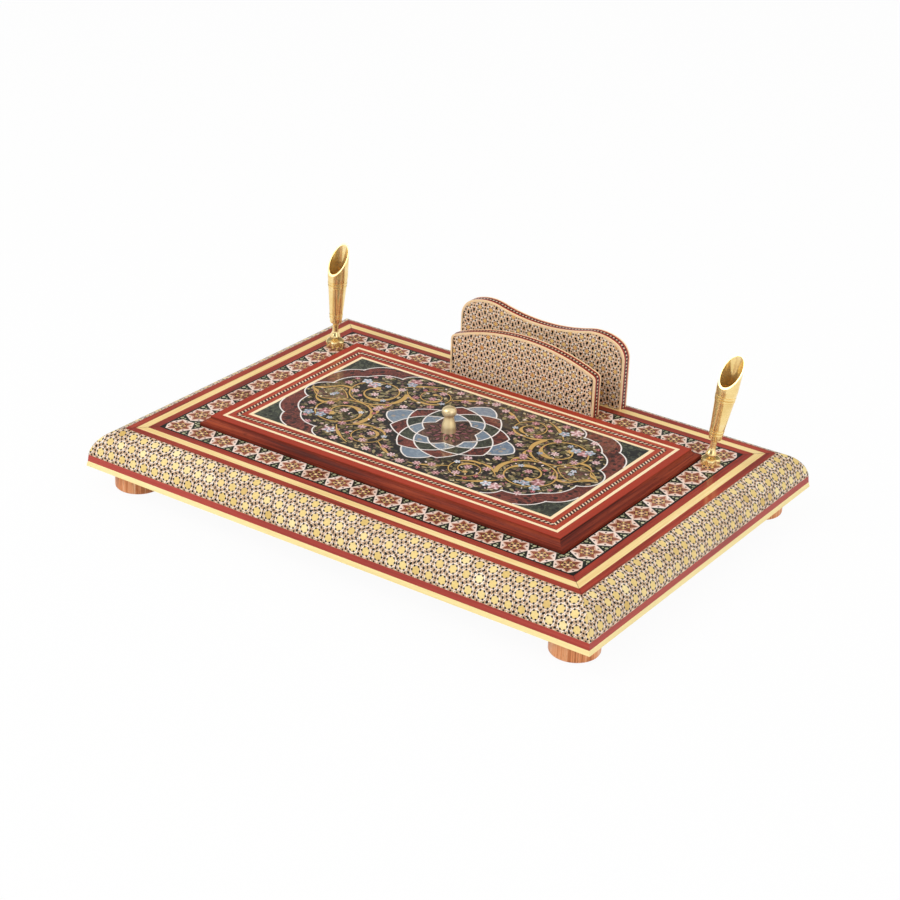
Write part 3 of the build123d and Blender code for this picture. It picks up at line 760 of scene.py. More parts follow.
def lay_row(
    names: tuple[str, str], tiles: list[list[Pair]], spots: Array, tones: list[Number], surface: Surface,
    finishes: Finishes, body: str,
) -> None:
    """Lays a row of umber tiles and a row of pale ones on them.

    Args:
        names: name of each row.
        tiles: corners of each row's tile.
        spots: (k, 2) places of the tiles.
        tones: tone of each row.
        surface: what carries them.
        finishes: every finish.
        body: the body that they ride on.
    """
    rows = zip(names, tiles, tones, (Layer.FIELD, Layer.SHAPE), ("umber_wood", "rope_wood"))
    for name, tile, tone, layer, finish in rows:
        sheet = Sheet()
        sheet.scatter(np.array(tile), spots, tones=tone)
        lay(name, sheet, surface, layer, finishes[finish], body)


NOTCH = np.array([[0.095, 0.0], [0.0, 0.09], [-0.075, 0.0], [0.0, -0.09]])
CHIP = even(4, 0.045)
PLAIN_ROUNDS = (
    ("darks", NOTCH, 0.3, 0.0, 0.3), ("darks", CHIP * 2.0, 0.57, TWELFTH, 0.3),
    ("darks", CHIP * 1.7, 0.495, 0.0, 0.3), ("whites", CHIP, 0.46, TWELFTH, 0.6),
)
DENSE_ROUNDS = (
    ("stars", CHIP * 1.4, 0.17, TWELFTH, 0.15), ("darks", NOTCH * 0.95, 0.27, 0.0, 0.2),
    ("whites", CHIP * 1.7, 0.31, TWELFTH, 0.8), ("stars", CHIP * 1.5, 0.43, TWELFTH, 0.5),
    ("darks", CHIP * 1.6, 0.495, 0.0, 0.2), ("darks", CHIP * 2.3, 0.57, TWELFTH, 0.2),
)


@dataclass
class Khatam:
    """Hexagon inlay: stars in pale rings, with dark and white tiles in their notches and where rings meet.

    Sizes are shares of the pitch. A round is six equal tiles about each centre: their kind, outline, distance,
    turn and tone.
    """

    pitch: float
    rise: float
    seed: int
    star: Pair = (0.33, 0.225)
    ring: Pair = (0.33, 0.41)
    star_tone: float = 0.5
    rounds: tuple[tuple[str, Array, float, float, float], ...] = PLAIN_ROUNDS

    def sheets(self, low: Pair, high: Pair) -> dict[str, Sheet]:
        """Gathers the tiles over a rectangle.

        Args:
            low: lowest u and v.
            high: highest u and v.

        Returns:
            One sheet for each kind of tile.
        """
        chance = np.random.default_rng(self.seed)
        p = self.pitch
        centres = honeycomb(low, high, p, self.rise)
        k = len(centres)
        centres = centres + chance.normal(0.0, 0.013 * p, centres.shape)
        angles = chance.normal(0.0, 0.05, k)
        sizes = p * (1 + chance.normal(0.0, 0.03, k))
        tones = np.clip(chance.normal(self.star_tone, 0.14, k), 0.05, 0.95)
        made = {word: Sheet() for word in ("rings", "stars", "darks", "whites")}
        star = radial(star_radius(*self.star, 6, 12), TWELFTH)
        made["stars"].scatter(star, centres, angles, sizes, tones)
        band, faces = ring_between(*(even(12, radius) for radius in self.ring))
        made["rings"].scatter(band, centres, angles, sizes, tones, faces=faces)
        for word, tile, distance, turn, mean in self.rounds:
            spin = angles[:, None] + turn + np.arange(6)[None] * SIXTH
            spots = centres[:, None] + polar(distance * p, spin)
            tone = np.clip(chance.normal(mean, 0.15, 6 * k), 0, 1)
            made[word].scatter(tile * p, spots.reshape(-1, 2), spin.ravel(), tones=tone)
        return made

    def cover(
        self, prefix: str, low: Pair, high: Pair, keep: Callable[[Array], Array], surface: Surface,
        finishes: list[Material],
    ) -> Iterator[bpy.types.Object]:
        """Lays the tiles over a rectangle of a surface.

        Args:
            prefix: start of the pieces' names.
            low: lowest u and v.
            high: highest u and v.
            keep: holds corners inside the sheet's outline.
            surface: what carries them.
            finishes: finish of the rings, stars, dark tiles and white tiles.

        Yields:
            Each new piece.
        """
        for (word, sheet), finish in zip(self.sheets(low, high).items(), finishes):
            sheet.points = [keep(points) for points in sheet.points]
            layer = Layer.FIELD if word == "rings" else Layer.SHAPE
            yield lay(f"{prefix}_{word}", sheet, surface, layer, finish, "base")


STAR_BAND = {
    "rims": (Layer.FIELD, "pinkish_bone"), "fields": (Layer.SHAPE, "blush_star_wood"),
    "notches": (Layer.LINE, "umber_wood"), "stars": (Layer.LINE, "brown_star_wood"),
    "inner_stars": (Layer.BLOOM, "tan_star_wood"), "hearts": (Layer.HEART, "ebony"),
    "petals": (Layer.TOP, "straw_wood"), "gems": (Layer.SHAPE, "sage_wood"), "edge_lines": (Layer.LINE, "ebony"),
}
PANEL = {
    "plum": (Layer.FIELD, "painted_plum_field"), "blue": (Layer.FIELD, "painted_blue_field"),
    "green": (Layer.FIELD, "painted_green_field"), "rust": (Layer.FIELD, "painted_rust_field"),
    "leaves": (Layer.SHAPE, "painted_olive"), "buds": (Layer.SHAPE, "painted_straw"),
    "shades": (Layer.LINE, "painted_black"), "scrolls": (Layer.BLOOM, "painted_gold"),
    "lines": (Layer.HEART, "painted_white"), "pinks": (Layer.HEART, "painted_pink"),
    "pales": (Layer.TOP, "painted_pale_blue"), "hearts": (Layer.PEAK, "painted_crimson"),
}


def lay_all(
    prefix: str, sheets: dict[str, Sheet], kinds: dict[str, tuple[Layer, str]], surface: Surface,
    finishes: Finishes, body: str,
) -> None:
    """Lays named sheets on a surface.

    Args:
        prefix: start of the pieces' names.
        sheets: the shapes under each name.
        kinds: layer and finish of each.
        surface: what carries them.
        finishes: every finish.
        body: the body that they ride on.
    """
    for word, (layer, finish) in kinds.items():
        lay(f"{prefix}_{word}", sheets[word], surface, layer, finishes[finish], body)


@dataclass
class Base:
    """Deck, moulding and feet of the box. A pair is for the front and back, then for the left and right."""

    finishes: Finishes
    deck: Frame
    face_radius: float = 23.0
    reach: float = 17.6
    drop: float = 18.7
    margin: float = 0.15
    pitches: Pair = (9.68, 10.2)
    firsts: Pair = (5.0, 4.3)
    rise: float = 8.7
    star_from: float = 16.3
    star_width: float = 19.4
    star_gap: float = 0.5
    star_counts: tuple[int, int] = (16, 9)
    moulding_seed: int = 11
    star_seed: int = 40

    def face_surface(self, side: Side) -> Surface:
        """Rounded face: v is the arc from the deck's edge.

        The centre follows from the face's two ends and its radius. The angle is the start angle less v over the
        radius; the point lies that way from the centre at the radius plus the height. Points past the mitre are
        drawn back to it.
        """
        chord = math.hypot(self.reach, self.drop)
        back = math.sqrt(self.face_radius**2 - (chord / 2) ** 2)
        centre_x = self.reach / 2 - back * self.drop / chord
        centre_z = -self.drop / 2 - back * self.reach / chord
        start = math.atan2(-centre_z, -centre_x)
        edge, run = self.deck.out(side), self.deck.run(side)

        def place(u: Array, v: Array, height: Array) -> tuple[Array, Array]:
            """Points and directions."""
            angle = start - v / self.face_radius
            away = self.face_radius + height
            out = centre_x + away * np.cos(angle)
            x, y = side.place(edge + out, np.clip(u, -run - out, run + out))
            normals = stacked(*side.place(np.cos(angle), 0.0), np.sin(angle))
            return stacked(x, y, self.deck.top + centre_z + away * np.sin(angle)), normals

        return place

    def build_moulding(self) -> None:
        """Lays the star inlay on the four rounded faces."""
        arc = 2 * self.face_radius * math.asin(math.hypot(self.reach, self.drop) / 2 / self.face_radius)

        def keep(points: Array) -> Array:
            """Draws corners past the sheet's edges back to them."""
            return stacked(points[:, 0], np.clip(points[:, 1], self.margin, arc - self.margin))

        tiles = [self.finishes[name] for name in ("warm_bone", "golden_wood", "ebony", "white_bone")]
        for number, side in enumerate(Side):
            run = self.deck.run(side) + self.reach
            khatam = Khatam(self.pitches[side.kind], self.rise, self.moulding_seed + number)
            low, high = (-run, self.firsts[side.kind] - self.rise), (run, arc + self.rise)
            face = self.face_surface(side)
            for piece in khatam.cover(f"moulding_{side.word}", low, high, keep, face, tiles):
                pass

    def build_star_band(self) -> None:
        """Lays the chain of hexagon cells on the four deck strips.

        Neighbouring cells touch at a corner. Each is layered from a bone hexagon through a blush field and a
        brown star with a paler one in it to a flower of straw petals; the dark ground between has sage gems.
        """
        middle = self.star_from + self.star_width / 2
        high = self.star_width / 2 - self.star_gap
        # Tips and notches of the cell's stars, and its rounds of tiles: corners, size, distance and start.
        outlines = {"fields": (0.9, 0.6), "stars": (0.84, 0.46), "inner_stars": (0.5, 0.27)}
        tiles = (
            ("notches", 4, 0.85, 0.74, TWELFTH), ("petals", 5, 0.75, 0.36, TWELFTH),
            ("hearts", 5, 0.95, 0.23, 0.0), ("hearts", 4, 0.7, 0.4, 0.0),
        )
        # Gems between the cells: shift along the band, distance from its edge and size.
        gems = ((0.0, 2.3, 1.35), (-2.9, 1.3, 0.75), (2.9, 1.3, 0.75), (0.0, 5.0, 0.7))
        for number, side in enumerate(Side):
            chance = np.random.default_rng(self.star_seed + number)
            sheets = {word: Sheet() for word in STAR_BAND}
            run = self.deck.run(side) - middle
            count = self.star_counts[side.kind]
            step = 2 * run / count
            half = step / 2
            # The cells on the corners belong to the front and back.
            centres = stacked(-run + np.arange(side.kind, count + 1 - side.kind) * step, middle)
            centres = centres + chance.normal(0, 0.1, centres.shape)
            k = len(centres)
            turn = chance.normal(0, 0.02, k)
            tone = np.clip(chance.normal(0.5, 0.17, k), 0.1, 0.9)
            squeeze = np.array([1.0, high / (half * HEXAGON_HALF_HEIGHT)])
            sheets["rims"].scatter(even(6, 1.0) * squeeze * half * 1.02, centres, turn, 1.0, tone)
            for word, (tip, notch) in outlines.items():
                outline = radial(star_radius(half * tip, half * notch, 6, 24)) * squeeze
                sheets[word].scatter(outline, centres, turn, 1.0, tone)
            for word, corners, size, distance, start in tiles:
                spin = start + np.arange(6) * SIXTH
                spots = centres[:, None] + (polar(half * distance, spin) * squeeze)[None]
                sheets[word].scatter(even(corners, size), spots.reshape(-1, 2), np.tile(spin, k))
            sheets["petals"].scatter(even(6, 0.9), centres, turn, 1.0, 0.9)
            gaps = -run + (np.arange(count) + 0.5) * step
            for way in (-1, 1):
                for shift, inset, size in gems:
                    spots = stacked(gaps + shift, middle + way * (self.star_width / 2 - inset))
                    shade = np.clip(chance.normal(0.5, 0.25, count), 0, 1)
                    sheets["gems"].scatter(even(6, size), spots, tones=shade)
            lines = ((self.star_from + 0.65, 0.65), (self.star_from + self.star_width - 0.55, 0.55))
            for inwards, half_width in lines:
                reach = self.deck.run(side) - inwards
                sheets["edge_lines"].ribbon(stacked(np.linspace(-reach, reach, 60), inwards), half_width, 0.4)
            surface = self.deck.surface(side)
            lay_all(f"star_band_{side.word}", sheets, STAR_BAND, surface, self.finishes, "base")

    def build_seams(self) -> None:
        """Draws the hairline of each mitre across the red and yellow strips: a ribbon along u = run - v."""
        v = np.linspace(0.05, self.star_from - 0.05, 20)
        umber = self.finishes["umber_wood"]
        for side in Side:
            sheet = Sheet()
            sheet.ribbon(stacked(self.deck.run(side) - v, v), 0.11, 0.3)
            lay(f"deck_seam_{side.word}", sheet, self.deck.surface(side), Layer.LINE, umber, "base")

    def dress(self, nodes: Solids) -> None:
        """Finishes the solids of the base."""
        table = {
            "bottom_board": "plywood", "deck_board": "plywood", "deck_red_bands": "deck_red_wood",
            "deck_yellow_line": "yellow_wood", "star_band": "dark_green_wood", "deck_field": "deck_red_wood",
            "moulding_red_band": "moulding_red_wood", "moulding_cream_strip": "moulding_cream_wood",
        }
        table.update({f"moulding_{side.word}": "carcass_wood" for side in Side})
        starts = {
            "carcass_rail": "carcass_wood", "well_wall": "carcass_wood",
            "moulding_khatam": "pale_bone_ground", "foot_": "foot_wood",
        }
        for start, finish in starts.items():
            table.update({name: finish for name in nodes if name.startswith(start)})
        give(nodes, self.finishes, table | {"foot_screws": "zinc_plated_steel"})


@dataclass
class Lid:
    """Lid with its inlaid border and knob."""

    finishes: Finishes
    frame: Frame
    row: Pair = (5.4, 9.3)
    row_gap: float = 0.5
    pitch: float = 3.3
    seed: int = 70

    def build_border(self) -> None:
        """Lays the fine inlaid row: a dark line crossed by slanted pale bars."""
        low, high = self.row
        middle, half = (low + high) / 2, (high - low) / 2 - self.row_gap
        tall = half * 0.8
        tiles = [
            [(-1.7, -half), (1.7, -half), (1.7, half), (-1.7, half)],
            [(-1.45, -tall), (-0.1, -tall), (1.35, tall), (0.0, tall)],
        ]
        for side in Side:
            chance = np.random.default_rng(self.seed)
            run = self.frame.run(side) - middle
            count = int(round(2 * run / self.pitch))
            spots = stacked(-run + (np.arange(count) + 0.5) * (2 * run / count), middle)
            tones = [np.clip(chance.normal(0.5, 0.2, count), 0, 1) for _ in tiles]
            names = (f"lid_border_{side.word}_blocks", f"lid_border_{side.word}_bars")
            lay_row(names, tiles, spots, tones, self.frame.surface(side), self.finishes, "lid")

    def dress(self, nodes: Solids) -> None:
        """Finishes the solids of the lid."""
        table = {
            "lid_core": "carcass_wood", "lid_battens": "carcass_wood", "lid_cream_lines": "lid_cream_wood",
            "lid_red_lines": "lid_red_wood", "lid_checker_band": "lid_red_wood",
            "lid_panel": "painted_night_ground", "knob": "satin_brass", "knob_screw": "zinc_plated_steel",
        }
        give(nodes, self.finishes, table | {f"lid_rail_{side.word}": "cove_wood_painted_shade" for side in Side})


def scalloped(cusps: tuple[Pair, ...], bulge: float) -> Array:
    """A line through cusps that bows outwards between them.

    Between two cusps it is start + s (end - start) + 4 s (1 - s) bulge length n, with n square to the chord.

    Args:
        cusps: the line's corners.
        bulge: how far it bows, as a share of the chord's length.

    Returns:
        Points along the line.
    """
    share = np.linspace(0.0, 1.0, 13)[None, :, None]
    start, end = np.array(cusps)[:-1, None], np.array(cusps)[1:, None]
    chord = end - start
    out = stacked(-chord[..., 1], chord[..., 0])
    out = out * np.sign((out * (start + end)).sum(axis=-1, keepdims=True))
    return (start + share * chord + 4 * share * (1 - share) * bulge * out).reshape(-1, 2)


def bezier(points: tuple[Pair, ...], samples: int = 40) -> Array:
    """The cubic curve of four points."""
    s = np.linspace(0.0, 1.0, samples)[:, None]
    a, b, c, d = np.array(points)
    return (1 - s) ** 3 * a + 3 * s * (1 - s) ** 2 * b + 3 * s**2 * (1 - s) * c + s**3 * d


def leaf(width: float) -> Array:
    """Outline of a leaf of unit half length: y = width (1 - x^2) on both sides."""
    x = np.linspace(-1.0, 1.0, 6)
    upper = stacked(x, width * (1 - x**2))
    return np.concatenate([upper, (upper * [1, -1])[::-1][1:-1]])


QUARTERS = np.array([[1, 1], [-1, 1], [-1, -1], [1, -1]], float)
STEMS = (
    ((40.0, 26.2), (48.0, 25.0), (54.0, 27.0), (60.5, 35.0)),
    ((88.0, 7.0), (90.0, 18.0), (104.0, 18.0), (107.0, 7.0)),
    ((107.0, 7.0), (108.0, 4.0), (112.0, 2.0), (117.0, 0.0)),
    ((57.0, 12.0), (53.0, 5.0), (60.0, 0.0), (68.0, -1.0)),
    ((29.0, 42.0), (22.0, 47.0), (16.0, 52.0), (6.0, 55.0)),
    ((66.0, 38.5), (62.0, 45.0), (54.0, 52.0), (44.0, 56.0)),
)
ROSES = (
    (74.5, 17.0), (40.0, 36.0), (0.0, 56.5), (19.5, 46.5), (29.5, 55.5), (47.0, 13.5), (59.0, 1.5), (50.5, 30.5),
    (85.0, 47.0), (101.5, 21.5), (56.0, 56.5), (33.0, 25.0), (10.5, 52.0), (64.5, 34.0), (90.0, 14.0), (38.0, 47.5),
)
SMALL_FLOWERS = ((52.0, 44.0), (92.0, 40.0), (82.0, 8.0), (14.5, 57.5), (100.0, 31.0), (47.0, 50.0), (58.0, 9.0))


@dataclass
class PaintedPanel:
    """Painted ornament of the lid: a rosette of crossing arcs, scrolls with flowers, and scalloped ends.

    A scroll is its middle and size, its start and way round, and its number of turns.
    """

    finishes: Finishes
    frame: Frame
    half: Pair = (119.5, 61.1)
    notch: float = 17.5
    tip: float = 41.0
    petal_tips: Pair = (51.5, 49.0)
    field_cusps: tuple[Pair, ...] = ((66.0, 61.1), (75.5, 50.0), (97.0, 37.5), (109.5, 14.5), (119.4, 0.0))
    corner_cusps: tuple[Pair, ...] = ((91.0, 61.1), (106.0, 45.5), (119.4, 27.5))
    scrolls: tuple[tuple[float, ...], ...] = (
        (75.0, 20.5, 20.0, 2.6, 1, 1.72), (40.5, 38.5, 12.0, -1.3, -1, 1.6),
    )
    bulges: Pair = (0.16, 0.14)
    line: float = 0.5
    dark_edge: float = 0.45
    strewn: int = 2800
    seed: int = 8
    sheets: dict[str, Sheet] = field(default_factory=lambda: {word: Sheet() for word in PANEL})

    def radius(self, share: Array) -> Array:
        """Distance of a crossing arc from the middle: notch + (tip - notch) share^1.12."""
        return self.notch + (self.tip - self.notch) * np.maximum(share, 0.0) ** 1.12

    def paint_rosette(self) -> None:
        """Fills the cells between sixteen arcs that leave eight tips and cross on the way to eight notches.

        At d quarter turns from its middle, a cell of ring n runs from the arc's distance at the share
        (n - 1) / 4 + d to that at (n + 1) / 4 - d. Four blue petals stand outside the outer ring.
        """
        eighth, quarter = TURN / 8, TURN / 4
        d = np.linspace(-0.25, 0.25, 25)
        for ring, word in enumerate(("plum", "blue", "green", "rust")):
            low = self.radius((ring - 1) / 4 + np.abs(d)) * min(ring, 1)
            high = self.radius((ring + 1) / 4 - np.abs(d))
            for k in range(8):
                angle = (k + 0.5 * (ring % 2)) * eighth + d * quarter
                self.sheets[word].between(polar(low, angle), polar(high, angle))
        share = np.linspace(0.0, 1.0, 60)
        for k in range(8):
            for way in (-1, 1):
                angle = (k + 0.5) * eighth + way * (1 - share) * quarter
                self.sheets["lines"].ribbon(polar(self.radius(share), angle), self.line)
        x = np.linspace(-1.0, 1.0, 41)
        d = 0.2 * x
        low = self.radius(0.75 + np.abs(d))
        rise = 1 - 0.42 * np.abs(x) - 0.58 * x**2
        for k in range(4):
            high = low[0] + (self.petal_tips[k % 2] - low[0]) * rise
            angle = k * quarter + d * quarter
            self.sheets["blue"].between(polar(low, angle), polar(high, angle))
            self.sheets["lines"].ribbon(polar(high, angle), self.line)

    def paint_heart(self) -> None:
        """Sets three rings of petals in the middle of the rosette: (distance, half length, width, tone, turn)."""
        rings = ((5.6, 2.8, 0.5, 0.3, 0.0), (10.2, 3.0, 0.42, 0.1, 0.5), (14.0, 2.4, 0.5, 0.2, 0.0))
        for distance, size, width, tone, turn in rings:
            angle = (np.arange(8) + turn) * TURN / 8
            places = polar(distance, angle)
            self.sheets["shades"].scatter(leaf(width), places, angle, size + 0.7, 0.4)
            self.sheets["pinks"].scatter(leaf(width * 0.8), places, angle, size, tone)

    def paint_ends(self, flip: Array) -> None:
        """Fills the rust zone and the green corner of one quarter, edged by two scalloped white lines."""
        inner = scalloped(self.field_cusps, self.bulges[0]) * flip
        outer = scalloped(self.corner_cusps, self.bulges[1]) * flip
        spread, share = np.linspace(0.0, 1.0, len(inner)), np.linspace(0.0, 1.0, len(outer))
        outer_even = stacked(*(np.interp(spread, share, column) for column in outer.T))
        self.sheets["rust"].between(inner, outer_even, 2)
        self.sheets["green"].between(outer, np.tile(self.half * flip, (len(outer), 1)))
        bud = radial(np.array([1.3, 0.6] * 4))
        for line, cusps in ((inner, self.field_cusps), (outer, self.corner_cusps)):
            self.sheets["lines"].ribbon(line, self.line)
            self.sheets["lines"].scatter(bud, np.array(cusps[1:-1]) * flip, tones=0.6)

    def stroke(self, line: Array, width: Array) -> None:
        """Draws a gold stem with a dark edge."""
        self.sheets["scrolls"].ribbon(line, width)
        self.sheets["shades"].ribbon(line, width + self.dark_edge)

    def paint_scrolls(self, flip: Array) -> None:
        """Draws the scrolls of one quarter: circles that wind inwards, joined by swelling stems."""
        t = np.linspace(0.0, 1.0, 110)
        swell = 1.1 * np.exp(-(((t - 0.04) / 0.07) ** 2)) + 1.3 * np.exp(-(((t - 0.72) / 0.06) ** 2))
        for x, y, size, start, way, turns in self.scrolls:
            angle = start + way * turns * TURN * t
            distance = size * (1 - 0.62 * np.clip((t - 0.35) / 0.65, 0, 1) ** 0.8)
            line = (np.array([x, y]) + polar(distance, angle)) * flip
            self.stroke(line, (0.4 + swell) * size / 18.0 + 0.14)
            self.sheets["leaves"].scatter(leaf(0.45), line[-1:], angle[-1], 3.0)
            whorl = np.arange(3) * 0.9 + angle[-1] * flip.prod()
            self.sheets["scrolls"].scatter(leaf(0.5), np.tile(line[-1], (3, 1)), whorl, size * 0.17, 0.55)
        for stem in STEMS:
            line = bezier(stem) * flip
            self.stroke(line, 0.42 + 0.85 * np.sin(np.linspace(0, math.pi, len(line))) ** 4)

    def bloom(self, sheet: str, spots: Array, size: float, petals: int, chance: np.random.Generator) -> None:
        """Sets flowers: an outline r = size (0.85 + 0.15 cos(petals a)) with a bright middle and a heart.

        Args:
            sheet: the sheet of their outlines.
            spots: (k, 2) middles.
            size: their greatest radius.
            petals: number of petals.
            chance: where their turns and tones come from.
        """
        k = len(spots)
        angle = np.arange(petals * 5) * (TURN / (petals * 5))
        outline = radial(size * (0.85 + 0.15 * np.cos(petals * angle)))
        turn = chance.uniform(0, 6, k)
        shade = np.append(0.42 * np.cos(petals * angle + 0.6), 0.2)
        self.sheets[sheet].scatter(outline, spots, turn, 1.0, chance.normal(0.45, 0.12, k), shade)
        hearts = self.sheets["hearts"]
        for spin in np.arange(petals) * (TURN / petals) + 0.3:
            place = spots + polar(size * 0.42, spin)
            hearts.scatter(leaf(0.5), place, spin, size * 0.16, chance.uniform(0.1, 0.7, k))
        hearts.scatter(even(6, size * 0.2), spots, tones=0.95)

    def paint_flowers(self) -> None:
        """Sets the flowers, mirrored into the four quarters, and strews leaves and buds between them."""
        chance = np.random.default_rng(self.seed)

        def mirrored(spots: tuple[Pair, ...]) -> Array:
            """The places in all four quarters, each a little off."""
            all_spots = (np.array(spots)[:, None] * QUARTERS[None]).reshape(-1, 2)
            return all_spots + chance.normal(0, 0.5, all_spots.shape)

        self.bloom("pinks", mirrored(ROSES), 3.1, 6, chance)
        self.bloom("hearts", mirrored(SMALL_FLOWERS), 1.9, 5, chance)
        self.bloom("pinks", mirrored(((86.5, 28.0), (67.0, 50.0))) + 1.6, 5.2, 5, chance)
        self.bloom("pales", mirrored(((83.0, 31.5), (63.0, 47.0), (92.0, 33.0))) - 1.0, 4.0, 5, chance)
        self.bloom("pales", mirrored(((65.0, 12.0), (97.0, 2.0), (30.0, 33.5), (76.0, 33.0))), 2.3, 5, chance)

        # Strewn leaves keep clear of the panel's edge, the ends, the rosette and its petals.
        from_edge, from_ends, rosette, petal_side, petal_reach = 1.5, 2.2, 43.5, 13.0, 52.0
        bound_x, bound_y = scalloped(self.field_cusps, self.bulges[0]).T
        spots = chance.uniform(-1, 1, (self.strewn, 2)) * (np.array(self.half) - from_edge)
        across, up = np.abs(spots).T
        away = np.hypot(across, up)
        free = (up < np.interp(across, bound_x, bound_y, left=self.half[0]) - from_ends) & (away > rosette)
        petal = (np.minimum(across, up) < petal_side) & (away < petal_reach)
        spots = spots[free & ~petal]
        part = len(spots) // 12
        lots = np.split(spots, (7 * part, 11 * part))
        for word, size, place in zip(("leaves", "buds", "pinks"), (2.2, 1.7, 1.3), lots):
            k = len(place)
            turn = chance.uniform(0, 6.3, k)
            tone = np.clip(chance.normal(0.5, 0.25, k), 0, 1)
            self.sheets[word].scatter(leaf(0.5), place, turn, size * chance.uniform(0.7, 1.2, k), tone)

    def paint_palmettes(self) -> None:
        """Fills the pointed plum palmette of each end: half height 10.5 (1 - |s|^1.7) at s half lengths."""
        s = np.linspace(-1.0, 1.0, 41)
        tall = 10.5 * (1 - np.abs(s) ** 1.7)
        for way in (-1, 1):
            x = way * (101.0 + 15.0 * s)
            upper, lower = stacked(x, tall), stacked(x, -tall)
            self.sheets["plum"].between(lower, upper)
            for line in (upper, lower):
                self.sheets["scrolls"].ribbon(line, 0.4)

    def build(self) -> None:
        """Paints everything and lays it on the panel."""
        self.paint_rosette()
        self.paint_heart()
        self.paint_palmettes()
        for flip in QUARTERS:
            self.paint_ends(flip)
            self.paint_scrolls(flip)
        self.paint_flowers()
        lay_all("panel", self.sheets, PANEL, self.frame.panel, self.finishes, "lid")


def arc(centre: Pair, radius: float, start: float, end: float, count: int) -> Array:
    """Points along an arc of a circle."""
    return np.array(centre) + polar(radius, np.linspace(start, end, count))


